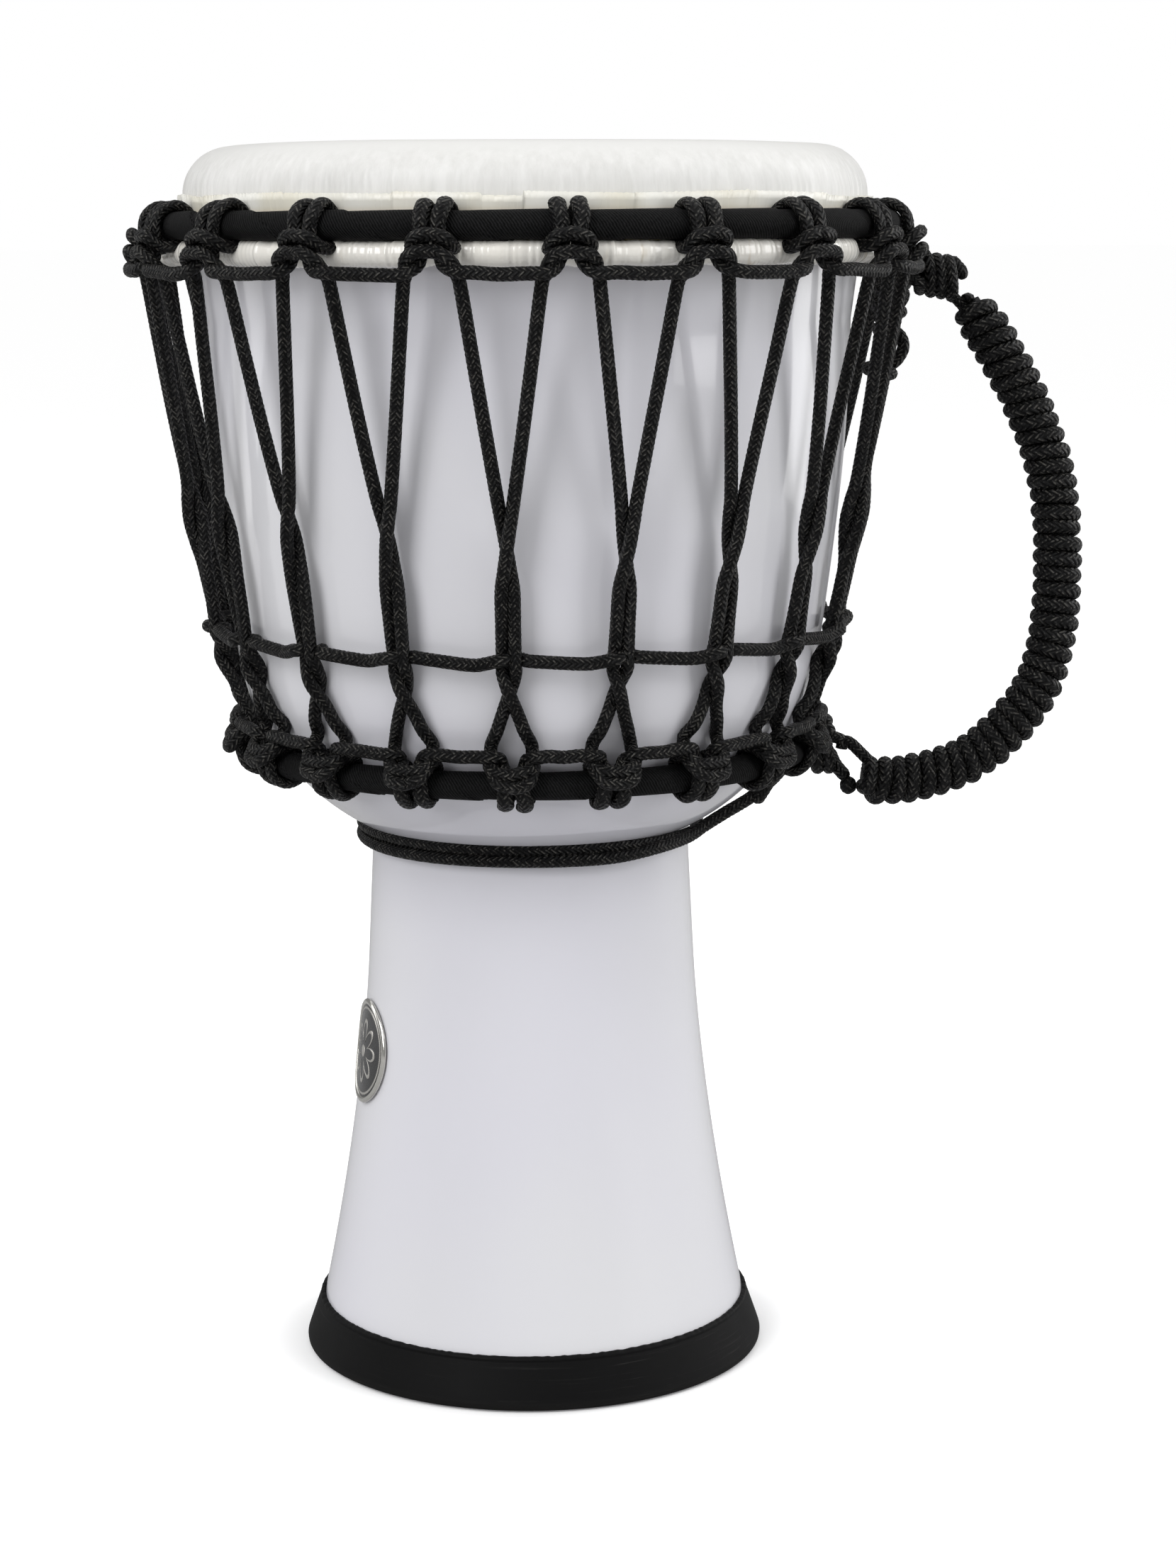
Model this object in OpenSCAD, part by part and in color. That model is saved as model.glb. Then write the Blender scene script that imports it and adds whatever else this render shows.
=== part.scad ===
// Small rope-tuned djembe: goblet shell, drumhead on a wire hoop, two taped rings,
// a knotted tension net and a rope-wrapped carrying handle.
// Origin on the drum's axis at the floor, +Z up, the handle towards +X.

/* [Shell] */
// Overall height, floor to drumhead
drum_h = 317.5; // [290:0.5:400]
// Height of the waist, where the pipe meets the bowl
waist_z = 141; // [120:0.5:160]
// Outer radius of the pipe just under the waist
pipe_top_r = 41.6; // [36:0.1:50]
// Outer radius of the pipe at the top of the rubber foot
pipe_foot_r = 56.6; // [48:0.1:64]
// Outer radius of the bowl at its widest
bowl_r = 83.5; // [76:0.1:100]
// Outer radius of the bowl where its side turns under
bowl_low_r = 76; // [68:0.1:92]
// Shell wall
shell_wall = 3.2; // [2:0.1:5]

/* [Foot] */
// Height of the rubber foot
foot_h = 13.3; // [10:0.1:18]
// Outer radius of the rubber foot at the floor
foot_r = 61.5; // [58:0.1:72]
// Rubber under the end of the shell
foot_sole = 2.6; // [1.5:0.1:4]

/* [Drumhead] */
// Outer radius of the drumhead's collar
collar_r = 87.4; // [80:0.1:105]
// Radius of the rounded bearing edge
edge_r = 12; // [8:0.5:16]
// Film thickness
film_t = 0.35; // [0.2:0.05:0.8]
// Height of the crown ring's centre below the drumhead
crown_drop = 19.7; // [18:0.1:26]
// Height of the flesh hoop's centre below the crown ring's
hoop_drop = 6.5; // [6:0.1:8]
// Wire radius of the flesh hoop
hoop_wire_r = 2.5; // [2:0.1:3]

/* [Rings] */
// Radius of the crown ring
crown_r = 92.8; // [90:0.1:110]
// Radius of the lower ring
low_ring_r = 71.3; // [66:0.1:86]
// Height of the lower ring above the waist
low_ring_rise = 22.8; // [20:0.1:30]
// Wire radius of both rings
ring_wire_r = 3; // [2:0.1:4]
// Thickness of the wound tape
tape_t = 0.5; // [0.3:0.05:1]

/* [Ropes] */
// Rope diameter
rope_d = 3.2; // [2.5:0.1:4]
// Hitches on each ring
hitches = 19; // [12:1:22]
// Half the distance between the two strands at a crown hitch
crown_spread = 6.4; // [5:0.1:8]
// Half the distance between the two strands at a lower hitch
low_spread = 4.8; // [4:0.1:7]
// Height where each pair of strands first crosses, below the drumhead
cross_drop = 93.9; // [80:0.5:120]
// Height of the woven row above the waist
weave_rise = 54.2; // [48:0.5:70]

/* [Handle] */
// Outer radius of the handle's winding
wrap_r = 6.35; // [5.5:0.05:8]
// Radius of the handle's core
core_r = 3; // [2.5:0.1:4]
// Radius of the handle's end cords
neck_r = 1.6; // [1.2:0.1:2]
// Running clearance of the end cords in their knots
swing_gap = 0.12; // [0.1:0.01:0.2]

/* [Badge] */
// Badge width
badge_w = 26; // [18:0.5:32]
// Badge height
badge_h = 27.4; // [18:0.1:34]
// Height of the badge's centre
badge_z = 82.9; // [60:0.1:110]
// Direction of the badge round the axis, from the handle
badge_turn = 196; // [150:0.1:220]

/* [Hidden] */

seat_gap = 0.05;
rope_r = rope_d / 2;
tube_r = rope_r * 0.94;
pitch = 360 / hitches;
tape_r = ring_wire_r + tape_t;
hug = tape_r + rope_r + seat_gap;
crown_z = drum_h - crown_drop;
// A thicker ring, hoop or film pushes the hoop down by as much
hoop_z = crown_z - hoop_drop - (tape_r + hoop_wire_r + film_t - 6.35);
hoop_r = crown_r - 1.9;
low_z = waist_z + low_ring_rise;
weave_z = waist_z + weave_rise;
cross_z = drum_h - cross_drop;
crown_strand_r = crown_r + 4.7;
crown_run_r = crown_strand_r + rope_d + 0.4;
crown_arc_z = crown_z - 2 * rope_d + 0.1;
crown_run_z = crown_arc_z - rope_d - 1.4;
low_run_r = low_ring_r + 5.5;
low_run_z = low_z + 8;
low_arc_r = low_ring_r + 6.1;
low_arc_z = low_z + 4.4;
net_r = bowl_low_r + 5.5;
black = [0.05, 0.05, 0.05];
white = [0.9, 0.9, 0.92];

// ---- small helpers ----
function unit(v) = v / norm(v);
function on_drum(a, r, z) = [r * cos(a), r * sin(a), z];
// The angle that a sideways distance t takes at radius r
function turn(t, r) = t / r * 180 / PI;
function at(a, t, r, z) = on_drum(a + turn(t, r), r, z);
function mix(a, b, f) = a + (b - a) * f;
function clamp01(f) = min(1, max(0, f));
function ease(f) = f * f * (3 - 2 * f);
// A smooth step of value v from x0 to x1
function ramp(x, x0, x1) = ease(clamp01((x - x0) / (x1 - x0)));
function reversed(p) = [for (i = [len(p) - 1 : -1 : 0]) p[i]];
function tangent(p, i) = unit(p[min(i + 1, len(p) - 1)] - p[max(i - 1, 0)]);
function square_to(t, n) = unit(n - (n * t) * t);
// Directions across a path, each the last one made square to the new tangent
function carried(p, n, i = 0) =
    i == len(p) ? [] :
    let (m = square_to(tangent(p, i), n))
    concat([m], carried(p, m, i + 1));
// A point on the smooth curve through four points, between the second and the third
function spline(a, b, c, d, f) =
    0.5 * (2 * b + (c - a) * f + (2 * a - 5 * b + 4 * c - d) * f * f
           + (3 * b - a - 3 * c + d) * f * f * f);
function smooth(p, n) =
    [for (i = [0 : len(p) - 2]) for (k = [0 : n - 1])
        spline(p[max(i - 1, 0)], p[i], p[i + 1], p[min(i + 2, len(p) - 1)], k / n),
     p[len(p) - 1]];

// A solid round tube along a path, with capped ends
module tube(p, r, sides, across = [0, 0, 1]) {
    n = carried(p, across);
    points = [for (i = [0 : len(p) - 1]) for (k = [0 : sides - 1])
        let (b = cross(tangent(p, i), n[i]), a = 360 * k / sides)
        p[i] + r * (cos(a) * n[i] + sin(a) * b)];
    walls = [for (i = [0 : len(p) - 2]) for (k = [0 : sides - 1])
        let (j = i * sides, m = (k + 1) % sides)
        [[j + k, j + sides + k, j + m], [j + m, j + sides + k, j + sides + m]]];
    last = (len(p) - 1) * sides;
    polyhedron(points, concat([for (w = walls) for (t = w) t],
        [[for (k = [0 : sides - 1]) k]],
        [[for (k = [sides - 1 : -1 : 0]) last + k]]));
}

// A wire ring about the drum's axis
module wire_ring(r, z, wire_r, bore_r = 0) {
    rotate_extrude($fn = 96) translate([r, z]) difference() {
        circle(r = wire_r, $fn = 32);
        if (bore_r > 0) circle(r = bore_r, $fn = 32);
    }
}

// ---- shell ----
bend_r = 60.2;
bend_mid_r = bowl_low_r + 0.6 - bend_r;
bend_z = waist_z + 55.6;
bend_top = -7;
bend_low = -acos((pipe_top_r + 0.4 - bend_mid_r) / bend_r);
rim_z = drum_h - film_t - seat_gap;
rim_out_r = collar_r - film_t - seat_gap;
rim_side_z = rim_z - edge_r;
pipe_curve_z = waist_z - 40;
// Outer radius of the pipe: a slow taper, then a flare that steepens towards the foot
function pipe_r(z) = pipe_top_r + 0.05 * (waist_z - z)
    + (pipe_foot_r - pipe_top_r - 0.05 * (waist_z - foot_h))
      * pow(clamp01((pipe_curve_z + 6 - z) / (pipe_curve_z + 6 - foot_h)), 1.75);
function pipe_side(n) = [for (i = [0 : n])
    let (z = mix(foot_sole + seat_gap, waist_z - 2, i / n)) [pipe_r(z), z]];
// Underside of the bowl: a round bend from the side down to the waist
function bowl_bend(n) = [for (i = [0 : n]) let (a = mix(bend_low, bend_top, i / n))
    [bend_mid_r + bend_r * cos(a), bend_z + bend_r * sin(a)]];
function bowl_side(n) = let (low = bend_mid_r + bend_r * cos(bend_top))
    [for (i = [1 : n]) let (f = i / n)
        [low + (bowl_r - low) * sin(90 * f), mix(bend_z + bend_r * sin(bend_top), crown_z - 24, f)]];
function rim_edge(n) = [for (i = [0 : n]) let (a = 90 * i / n)
    [rim_out_r - edge_r + edge_r * cos(a), rim_side_z + edge_r * sin(a)]];
function shell_outside() = concat(pipe_side(16), bowl_bend(10), bowl_side(8),
    [[rim_out_r - 1.4, crown_z - 8]], rim_edge(8));
// The wall's inner face: each outer point moved inwards by the wall, and the rim made round
function inward(p, i) = let (d = unit(p[min(i + 1, len(p) - 1)] - p[max(i - 1, 0)]))
    [p[i][0] - shell_wall * d[1], p[i][1] + shell_wall * d[0]];
function shell_inside() = let (p = concat(pipe_side(16), bowl_bend(10), bowl_side(8)))
    [for (i = [0 : len(p) - 1]) i == 0 ? [p[0][0] - shell_wall, p[0][1]] : inward(p, i)];

module shell() color(white)
    rotate_extrude($fn = 96) polygon(concat(shell_outside(),
        [[rim_out_r - edge_r - 1, rim_z - 1.2], [bowl_r - shell_wall - 1.6, rim_side_z - 6]],
        reversed(shell_inside())));

// ---- rubber foot: a lip outside, a sole, and a shallow lip inside ----
module foot_ring() color(black) {
    gap = seat_gap;
    top_r = pipe_r(foot_h) + gap;
    inner_r = pipe_r(foot_sole) - shell_wall - gap;
    rotate_extrude($fn = 96) polygon(concat(
        [[inner_r - 2.2, 0], [foot_r - 0.8, 0], [foot_r, 1.2], [top_r + 1.2, foot_h - 0.4],
         [top_r + 0.6, foot_h]],
        [for (i = [6 : -1 : 0]) let (z = mix(foot_sole, foot_h, i / 6)) [pipe_r(z) + gap, z]],
        [[inner_r, foot_sole], [inner_r - 0.4, foot_h - 5], [inner_r - 2.2, foot_h - 5]]));
}

// ---- drumhead: flat top, rounded edge, collar, hem round the hoop, trimmed strip ----
hem_r = hoop_wire_r + 0.1 + film_t / 2;
function film_path() = let (r = collar_r - film_t / 2, z = drum_h - film_t / 2, e = edge_r - film_t / 2)
    concat([[0, z]],
        [for (i = [10 : -1 : 0]) let (a = 9 * i) [r - e + e * cos(a), z - e + e * sin(a)]],
        [[r + 0.1, crown_z + 4], [mix(r, hoop_r - hem_r, 0.9), hoop_z + 3]],
        [for (a = [180 : 15 : 480]) [hoop_r + hem_r * cos(a), hoop_z + hem_r * sin(a)]],
        [[crown_r - tape_r - 0.7, crown_z - 1.6], [crown_r - tape_r - 0.6, crown_z + 3.5],
         [crown_r - tape_r - 0.2, crown_z + 6.6]]);
function side_point(p, i, w) = let (d = unit(p[min(i + 1, len(p) - 1)] - p[max(i - 1, 0)]))
    [max(0, p[i][0] - w * d[1]), p[i][1] + w * d[0]];
module drumhead() color([0.93, 0.93, 0.91])
    let (p = film_path())
    rotate_extrude($fn = 96) polygon(concat(
        [for (i = [0 : len(p) - 1]) side_point(p, i, film_t / 2)],
        [for (i = [len(p) - 1 : -1 : 0]) side_point(p, i, -film_t / 2)]));

module flesh_hoop() color("silver") wire_ring(hoop_r, hoop_z, hoop_wire_r);

// ---- rings and their tape ----
module crown_ring() color("gray") wire_ring(crown_r, crown_z, ring_wire_r - seat_gap);
module crown_ring_tape() color(black) wire_ring(crown_r, crown_z, tape_r, ring_wire_r);
module lower_ring() color("gray") wire_ring(low_ring_r, low_z, ring_wire_r - seat_gap);
module lower_ring_tape() color(black) wire_ring(low_ring_r, low_z, tape_r, ring_wire_r);

// ---- cradle ropes: up over the ring as two strands at each hitch, then along to the next ----
// One half hitch; way is 1 where the rope goes over the top of the ring and -1 at the bottom
function half_hitch(a, side, ring_r, ring_z, run_r, run_z, way) = concat(
    [for (t = [PI * run_r / hitches, 8.2]) at(a, side * t, run_r, run_z)],
    [at(a, side * 5.6, run_r - 0.1, mix(run_z, ring_z, 0.04)),
     at(a, side * (rope_r + 1.1), mix(run_r, ring_r + hug, 0.7), mix(run_z, ring_z, 0.3)),
     at(a, side * (rope_r + 0.1), ring_r + hug - 0.6, mix(run_z, ring_z, 0.62))],
    [for (b = [-5, 40, 80, 112])
        at(a, side * (rope_r + 0.1), ring_r + hug * cos(b), ring_z + way * hug * sin(b))]);
function hitch(a, ring_r, ring_z, run_r, run_z, way) = concat(
    half_hitch(a, -1, ring_r, ring_z, run_r, run_z, way),
    reversed(half_hitch(a, 1, ring_r, ring_z, run_r, run_z, way)));
module cradle(first, ring_r, ring_z, run_r, run_z, way)
    for (k = [0 : hitches - 1])
        tube(hitch(first + k * pitch, ring_r, ring_z, run_r, run_z, way), tube_r, 6);
// The turn of rope that lies across the front of each hitch
module bars(first, ring_r, ring_z, tilt, half)
    for (k = [0 : hitches - 1]) rotate([0, 0, first + k * pitch])
        translate([ring_r + (hug + rope_d + seat_gap) * cos(tilt), 0,
                   ring_z + (hug + rope_d + seat_gap) * sin(tilt)])
        rotate([90, 0, 0]) cylinder(r = tube_r, h = 2 * half, center = true, $fn = 8);

module crown_cradle_rope() color(black)
    cradle(pitch / 2, crown_r, crown_z, crown_run_r, crown_run_z, 1);
module crown_hitch_bars() color(black) bars(pitch / 2, crown_r, crown_z, -24, 6);
module lower_cradle_rope() color(black)
    cradle(0, low_ring_r, low_z, low_run_r, low_run_z, -1);
module lower_hitch_bars() color(black) bars(0, low_ring_r, low_z, 10, 4.3);

// ---- tension rope: one zigzag of strand pairs, joined over the hitches of both rings ----
// Distance of the net from the axis at height z
function net(z) = z > weave_z
    ? mix(net_r, crown_strand_r, (z - weave_z) / (crown_run_z - weave_z))
    : mix(low_run_r - 2.4, net_r, (z - low_run_z) / (weave_z - low_run_z));
top_half = PI * crown_strand_r / hitches - crown_spread;
side_gap = rope_r + seat_gap;
low_cross_z = weave_z - 7.4;
// Sideways place of the strand that starts on the left
function sway(z) = z > cross_z - 12
    ? min(side_gap, mix(0, -top_half, (z - cross_z) / (crown_run_z - cross_z)))
    : z > weave_z - 3 ? side_gap
    : mix(-low_spread, side_gap, ramp(z, low_run_z + 2, weave_z - 2));
// Depth of the same strand behind or before the net's own surface
function depth(z) = -side_gap * exp(-pow((z - cross_z) / 9, 2))
    - side_gap * exp(-pow((z - low_cross_z) / 4, 2)) + 0.7 * rope_d / 3.2 * exp(-pow((z - weave_z) / 4, 2));
strand_zs = [crown_run_z - 3, cross_z + 11, cross_z, cross_z - 11, weave_z + 3, weave_z - 2,
             low_cross_z + 2, low_cross_z - 2, low_run_z + 6];
function strand(a, side) = [for (z = strand_zs)
    at(a, side * sway(z), net(z) + side * depth(z), z)];
// Half of the arch over a crown hitch, from its middle out to the top of a strand
function crown_arch(a, side) = [
    at(a, 0, crown_r + 8.2, crown_arc_z), at(a, side * 3, crown_r + 8.2, crown_arc_z - 0.3),
    at(a, side * 5.3, crown_r + 7.2, crown_arc_z - 1.5),
    at(a, side * crown_spread, crown_r + 5.3, crown_run_z + 1.8),
    at(a, side * crown_spread, crown_strand_r, crown_run_z - 0.4)];
function low_arch(a, side) = [
    at(a, side * low_spread, low_run_r - 3, low_run_z + 0.6),
    at(a, side * low_spread, low_run_r - 2.4, low_run_z - 2.2),
    at(a, side * (low_spread - 0.6), low_arc_r - 0.6, low_arc_z + 0.6),
    at(a, side * 2.4, low_arc_r, low_arc_z - 0.1), at(a, 0, low_arc_r, low_arc_z - 0.3)];
module tension_rope() color(black)
    for (k = [0 : hitches - 1]) let (a = k * pitch) {
        tube(concat(crown_arch(a - pitch / 2, 1), strand(a, 1), low_arch(a, -1)), tube_r, 6);
        tube(concat(crown_arch(a + pitch / 2, -1), strand(a, -1), low_arch(a, 1)), tube_r, 6);
    }

// ---- woven row: before the left strand of each pair and behind the right one ----
function weave_point(a, t, out) = at(a, t, net(weave_z) + out * rope_d / 3.2, weave_z);
module weave_row() color(black)
    for (k = [0 : hitches - 1]) let (a = k * pitch)
        tube([weave_point(a, -PI * net_r / hitches, 0.3), weave_point(a, -4.6, 1.6),
              weave_point(a, -1.9, 2.2), weave_point(a, 1.9, -1.4), weave_point(a, 4.6, -1),
              weave_point(a, PI * net_r / hitches, 0.3)], tube_r, 6);

// ---- waist rope: two turns round the waist and a tail up to the lower ring ----
waist_rope_r = pipe_top_r + rope_r + 0.7;
tail_turn = -2 * pitch;
module waist_rope() color(black) {
    wire_ring(waist_rope_r, waist_z - rope_r + 0.2, rope_r);
    tube(concat(
        [on_drum(tail_turn + 4, waist_rope_r + 22.6, waist_z + 15.5),
         on_drum(tail_turn + 13, waist_rope_r + 16, waist_z + 9.5),
         on_drum(tail_turn + 24, waist_rope_r + 8.1, waist_z + 5)],
        [for (i = [0 : 21]) on_drum(tail_turn + 33 + 15 * i, waist_rope_r + rope_d - 0.5, waist_z + rope_r - 0.2)]),
        tube_r, 8);
}

// ---- rear tie-off: the tension rope's knotted end, beside the pair nearest the handle ----
TIE_OFF = [[8.2, 99.8, 282], [9.2, 100.6, 277], [8.6, 100, 271.5], [10.2, 101, 267],
           [10, 100.4, 261], [8.8, 98.6, 256]];
module tie_off() color(black)
    tube([for (p = TIE_OFF) on_drum(p[0], p[1] + crown_r - 92.8, p[2] + drum_h - 317.5)], 1.9, 8);

// ---- handle: it swings about the line between the two knots that tie it ----
top_pivot = [crown_r + 14.8, 0, crown_z - 17.6];
low_pivot = [low_ring_r + 11, 0, low_z - 4.9];
hinge_dir = unit(top_pivot - low_pivot);
module along_hinge(from) translate(from) rotate([0, acos(hinge_dir[2]), 0]) children();
knot_r = 5.6;
bore_depth = 4.5;

// A turn of cord round a rope or ring that runs sideways at [r, z], from one angle to another
module tie_loop(r, z, loop_r, from, to) translate([r, 0, z]) rotate([90, 0, 0]) rotate([0, 0, from])
    rotate_extrude(angle = to - from, $fn = 48) translate([loop_r, 0]) circle(r = tube_r, $fn = 24);

module top_knot() color(black) difference() {
    union() {
        tie_loop(crown_run_r, crown_run_z, rope_d + 0.2, 0, 360);
        along_hinge(top_pivot) translate([0, 0, 0.3]) cylinder(r1 = knot_r - 1, r2 = knot_r, h = 3.4, $fn = 48);
        along_hinge(top_pivot) translate([0, 0, 3.7]) cylinder(r1 = knot_r, r2 = knot_r - 1.4, h = 5, $fn = 48);
    }
    along_hinge(top_pivot) cylinder(r = neck_r + swing_gap, h = bore_depth + 0.3, $fn = 48);
}
low_tie_turn = turn(5.4, low_ring_r);
low_tie = on_drum(low_tie_turn, low_ring_r + hug, low_z - 2.4);
module bottom_knot() color(black) difference() {
    union() {
        along_hinge(low_pivot) translate([0, 0, -5]) cylinder(r1 = neck_r + 1.2, r2 = neck_r + 0.7, h = 5, $fn = 48);
        rotate([0, 0, low_tie_turn]) tie_loop(low_ring_r, low_z, hug, -110, 20);
        translate(low_tie) rotate([0, 124, -44]) cylinder(r = tube_r - 0.2, h = 7.2, $fn = 32);
    }
    along_hinge(low_pivot) translate([0, 0, -4]) cylinder(r = neck_r + swing_gap, h = 5, $fn = 48);
}

// The handle's own line, from its top end to its bottom end, as distances from the two pivots
HANDLE_LINE = [[7.3, -3], [12.4, -10.2], [17, -17.9], [21.4, -25.6], [25.4, -34.7], [28.4, -42.7],
               [30.6, -52.2], [31.7, -62.7], [32, -73.7], [31.6, -84.7], [30.3, -93.7],
               [27.6, -102.7], [23.2, -110], [16.4, -117.6], [8.2, -123.6], [-1.1, -126.9],
               [-10.6, -128.6], [-19.4, -128.4]];
handle_stretch = (top_pivot[2] - low_pivot[2]) / 121.3;
// Sideways move of the low end when the rings' radii change
low_shift = low_pivot[0] - top_pivot[0] + 25.3;
function handle_point(p) = [top_pivot[0] + p[0] + low_shift * min(1, -p[1] / 121.3), 0,
                            top_pivot[2] + p[1] * handle_stretch];
handle_line = smooth([for (p = HANDLE_LINE) handle_point(p)], 2);
head_of_line = handle_line[0];
end_of_line = handle_line[len(handle_line) - 1];

module handle_wrap() color(black) difference() {
    tube(handle_line, wrap_r, 14, [0, 1, 0]);
    tube(concat([head_of_line - 2 * tangent(handle_line, 0)], handle_line,
                [end_of_line + 2 * tangent(handle_line, len(handle_line) - 1)]),
         core_r + seat_gap, 12, [0, 1, 0]);
}
module handle_core() color([0.1, 0.1, 0.1]) tube(handle_line, core_r, 12, [0, 1, 0]);

// End cords: a round pin in the knot, then a bend that stops just short of the core's end
cord_gap = 0.4;
module cord_bend(p) tube(smooth(p, 2), neck_r - 0.2, 10, [0, 1, 0]);
head_dir = tangent(handle_line, 0);
end_dir = tangent(handle_line, len(handle_line) - 1);
module top_neck() color(black) {
    along_hinge(top_pivot) translate([0, 0, -0.6]) cylinder(r = neck_r, h = bore_depth + 0.3, $fn = 48);
    cord_bend([top_pivot - (0.6 + cord_gap) * hinge_dir, top_pivot - 1.7 * hinge_dir,
               top_pivot + [2.4, 0, -2.6], head_of_line - 1.8 * head_dir,
               head_of_line - cord_gap * head_dir]);
}
module bottom_neck() color(black) {
    along_hinge(low_pivot) translate([0, 0, -3.6]) cylinder(r = neck_r, h = 4.2, $fn = 48);
    cord_bend([low_pivot + (0.6 + cord_gap) * hinge_dir, low_pivot + 1.7 * hinge_dir,
               low_pivot + [2 * neck_r - 1, 0, 2.4], low_pivot + [2 * neck_r + 0.7, 0, 0.7],
               low_pivot + [2 * neck_r + 1, 0, -2.3],
               end_of_line + 1.8 * end_dir, end_of_line + cord_gap * end_dir]);
}

// ---- badge: a thin oval on a curved adhesive pad, bent to the pipe ----
// Everything between two distances from the pipe's surface, inside an oval
module badge_layer(w, h, from, to) rotate([0, 0, badge_turn]) intersection() {
    translate([0, 0, badge_z]) rotate([0, 90, 0]) linear_extrude(height = 80)
        scale([h / w, 1]) circle(d = w, $fn = 48);
    rotate_extrude($fn = 96) polygon(concat(
        [for (i = [0 : 8]) let (z = badge_z - 20 + 5 * i) [pipe_r(z) + from, z]],
        [for (i = [8 : -1 : 0]) let (z = badge_z - 20 + 5 * i) [pipe_r(z) + to, z]]));
}
module badge_pad() color("dimgray") badge_layer(badge_w - 2, badge_h - 2, seat_gap, 0.5);
module badge_frame() color("silver") difference() {
    badge_layer(badge_w, badge_h, 0.55, 1.7);
    badge_layer(badge_w - 3, badge_h - 3, 0.3, 2);
}
module badge_plate() color(black) badge_layer(badge_w - 3.1, badge_h - 3.1, 0.55, 1.2);

shell();
foot_ring();
drumhead();
flesh_hoop();
crown_ring();
crown_ring_tape();
crown_cradle_rope();
crown_hitch_bars();
tension_rope();
weave_row();
lower_ring();
lower_ring_tape();
lower_cradle_rope();
lower_hitch_bars();
waist_rope();
tie_off();
top_knot();
bottom_knot();
top_neck();
bottom_neck();
handle_core();
handle_wrap();
badge_pad();
badge_frame();
badge_plate();
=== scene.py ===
"""Blender looks for a small rope-tuned djembe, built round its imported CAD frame.

Lengths are in millimetres and angles in degrees until a mesh is made, which is in metres. The drum's
axis is Z, its foot stands at z = 0, the handle is on the +X side and the player's view is from -Y.
A place in the rope work is given as t, r, z: t is how far it lies sideways of its hitch, r its
distance from the axis and z its height.
"""

import math

import bpy
import numpy as np
from mathutils import Matrix, Vector


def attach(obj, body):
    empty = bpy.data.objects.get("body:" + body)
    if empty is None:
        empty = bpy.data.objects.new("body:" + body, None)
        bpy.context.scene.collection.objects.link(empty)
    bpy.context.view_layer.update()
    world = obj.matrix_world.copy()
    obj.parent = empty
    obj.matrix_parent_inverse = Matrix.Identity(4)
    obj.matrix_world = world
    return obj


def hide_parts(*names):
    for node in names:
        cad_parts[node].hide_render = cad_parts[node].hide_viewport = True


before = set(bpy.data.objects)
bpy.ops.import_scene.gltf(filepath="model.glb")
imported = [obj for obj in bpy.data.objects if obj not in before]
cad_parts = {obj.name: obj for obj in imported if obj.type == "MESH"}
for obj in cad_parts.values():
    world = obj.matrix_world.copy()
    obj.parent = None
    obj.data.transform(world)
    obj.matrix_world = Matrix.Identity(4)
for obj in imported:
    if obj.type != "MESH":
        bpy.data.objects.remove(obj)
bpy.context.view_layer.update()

MM = 0.001
TAU = 2 * math.pi
rng = np.random.default_rng(19)

# ---- sizes shared with the CAD source ----
DRUM_H = 317.5
WAIST_Z = 141.0
FOOT_H = 13.3
FOOT_R = 61.5
FOOT_SOLE = 2.6
SHELL_WALL = 3.2
BOWL_R = 83.5
PIPE_TOP_R, PIPE_FOOT_R = 41.6, 56.6
COLLAR_R = 87.4
EDGE_R = 12.0
FILM_T = 0.35
CROWN_R, CROWN_Z = 92.8, 297.8
HOOP_R, HOOP_Z = 90.9, 291.3
LOW_R, LOW_Z = 71.3, 163.8
TAPE_R = 3.5
ROPE_R = 1.6
HITCHES = 19
PITCH = 360 / HITCHES
CROWN_RUN_R, CROWN_RUN_Z = 101.1, 286.9
LOW_RUN_R, LOW_RUN_Z = 76.8, 171.8
CROSS_Z, WEAVE_Z, LOW_CROSS_Z = 223.6, 195.2, 187.8
# Distance of the net from the axis at the crown run, at the weave and at the lower run
CROWN_STRAND_R, NET_R, LOW_STRAND_R = 97.5, 81.5, 74.4
# Half the distance between the two strands at a hitch
CROWN_SPREAD, LOW_SPREAD = 6.4, 4.8
TOP_PIVOT = np.array([107.6, 0, 280.2])
LOW_PIVOT = np.array([82.3, 0, 158.9])
# The handle's middle line in its own plane, from the top pivot
HANDLE_LINE = [(7.3, -3), (12.4, -10.2), (17, -17.9), (21.4, -25.6), (25.4, -34.7), (28.4, -42.7),
               (30.6, -52.2), (31.7, -62.7), (32, -73.7), (31.6, -84.7), (30.3, -93.7), (27.6, -102.7),
               (23.2, -110), (16.4, -117.6), (8.2, -123.6), (-1.1, -126.9), (-10.6, -128.6),
               (-19.4, -128.4)]
BADGE_W, BADGE_H, BADGE_Z, BADGE_TURN = 26.0, 27.4, 82.9, 196.0


# ---- mesh making ----
def unit(v):
    """Each row divided by its length."""
    return v / np.maximum(np.linalg.norm(v, axis=-1, keepdims=True), 1e-12)


def ramp(x, low, high):
    """0 below low, 1 above high, and a smooth S between: f * f * (3 - 2 f)."""
    f = np.clip((x - low) / (high - low), 0, 1)
    return f * f * (3 - 2 * f)


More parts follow.
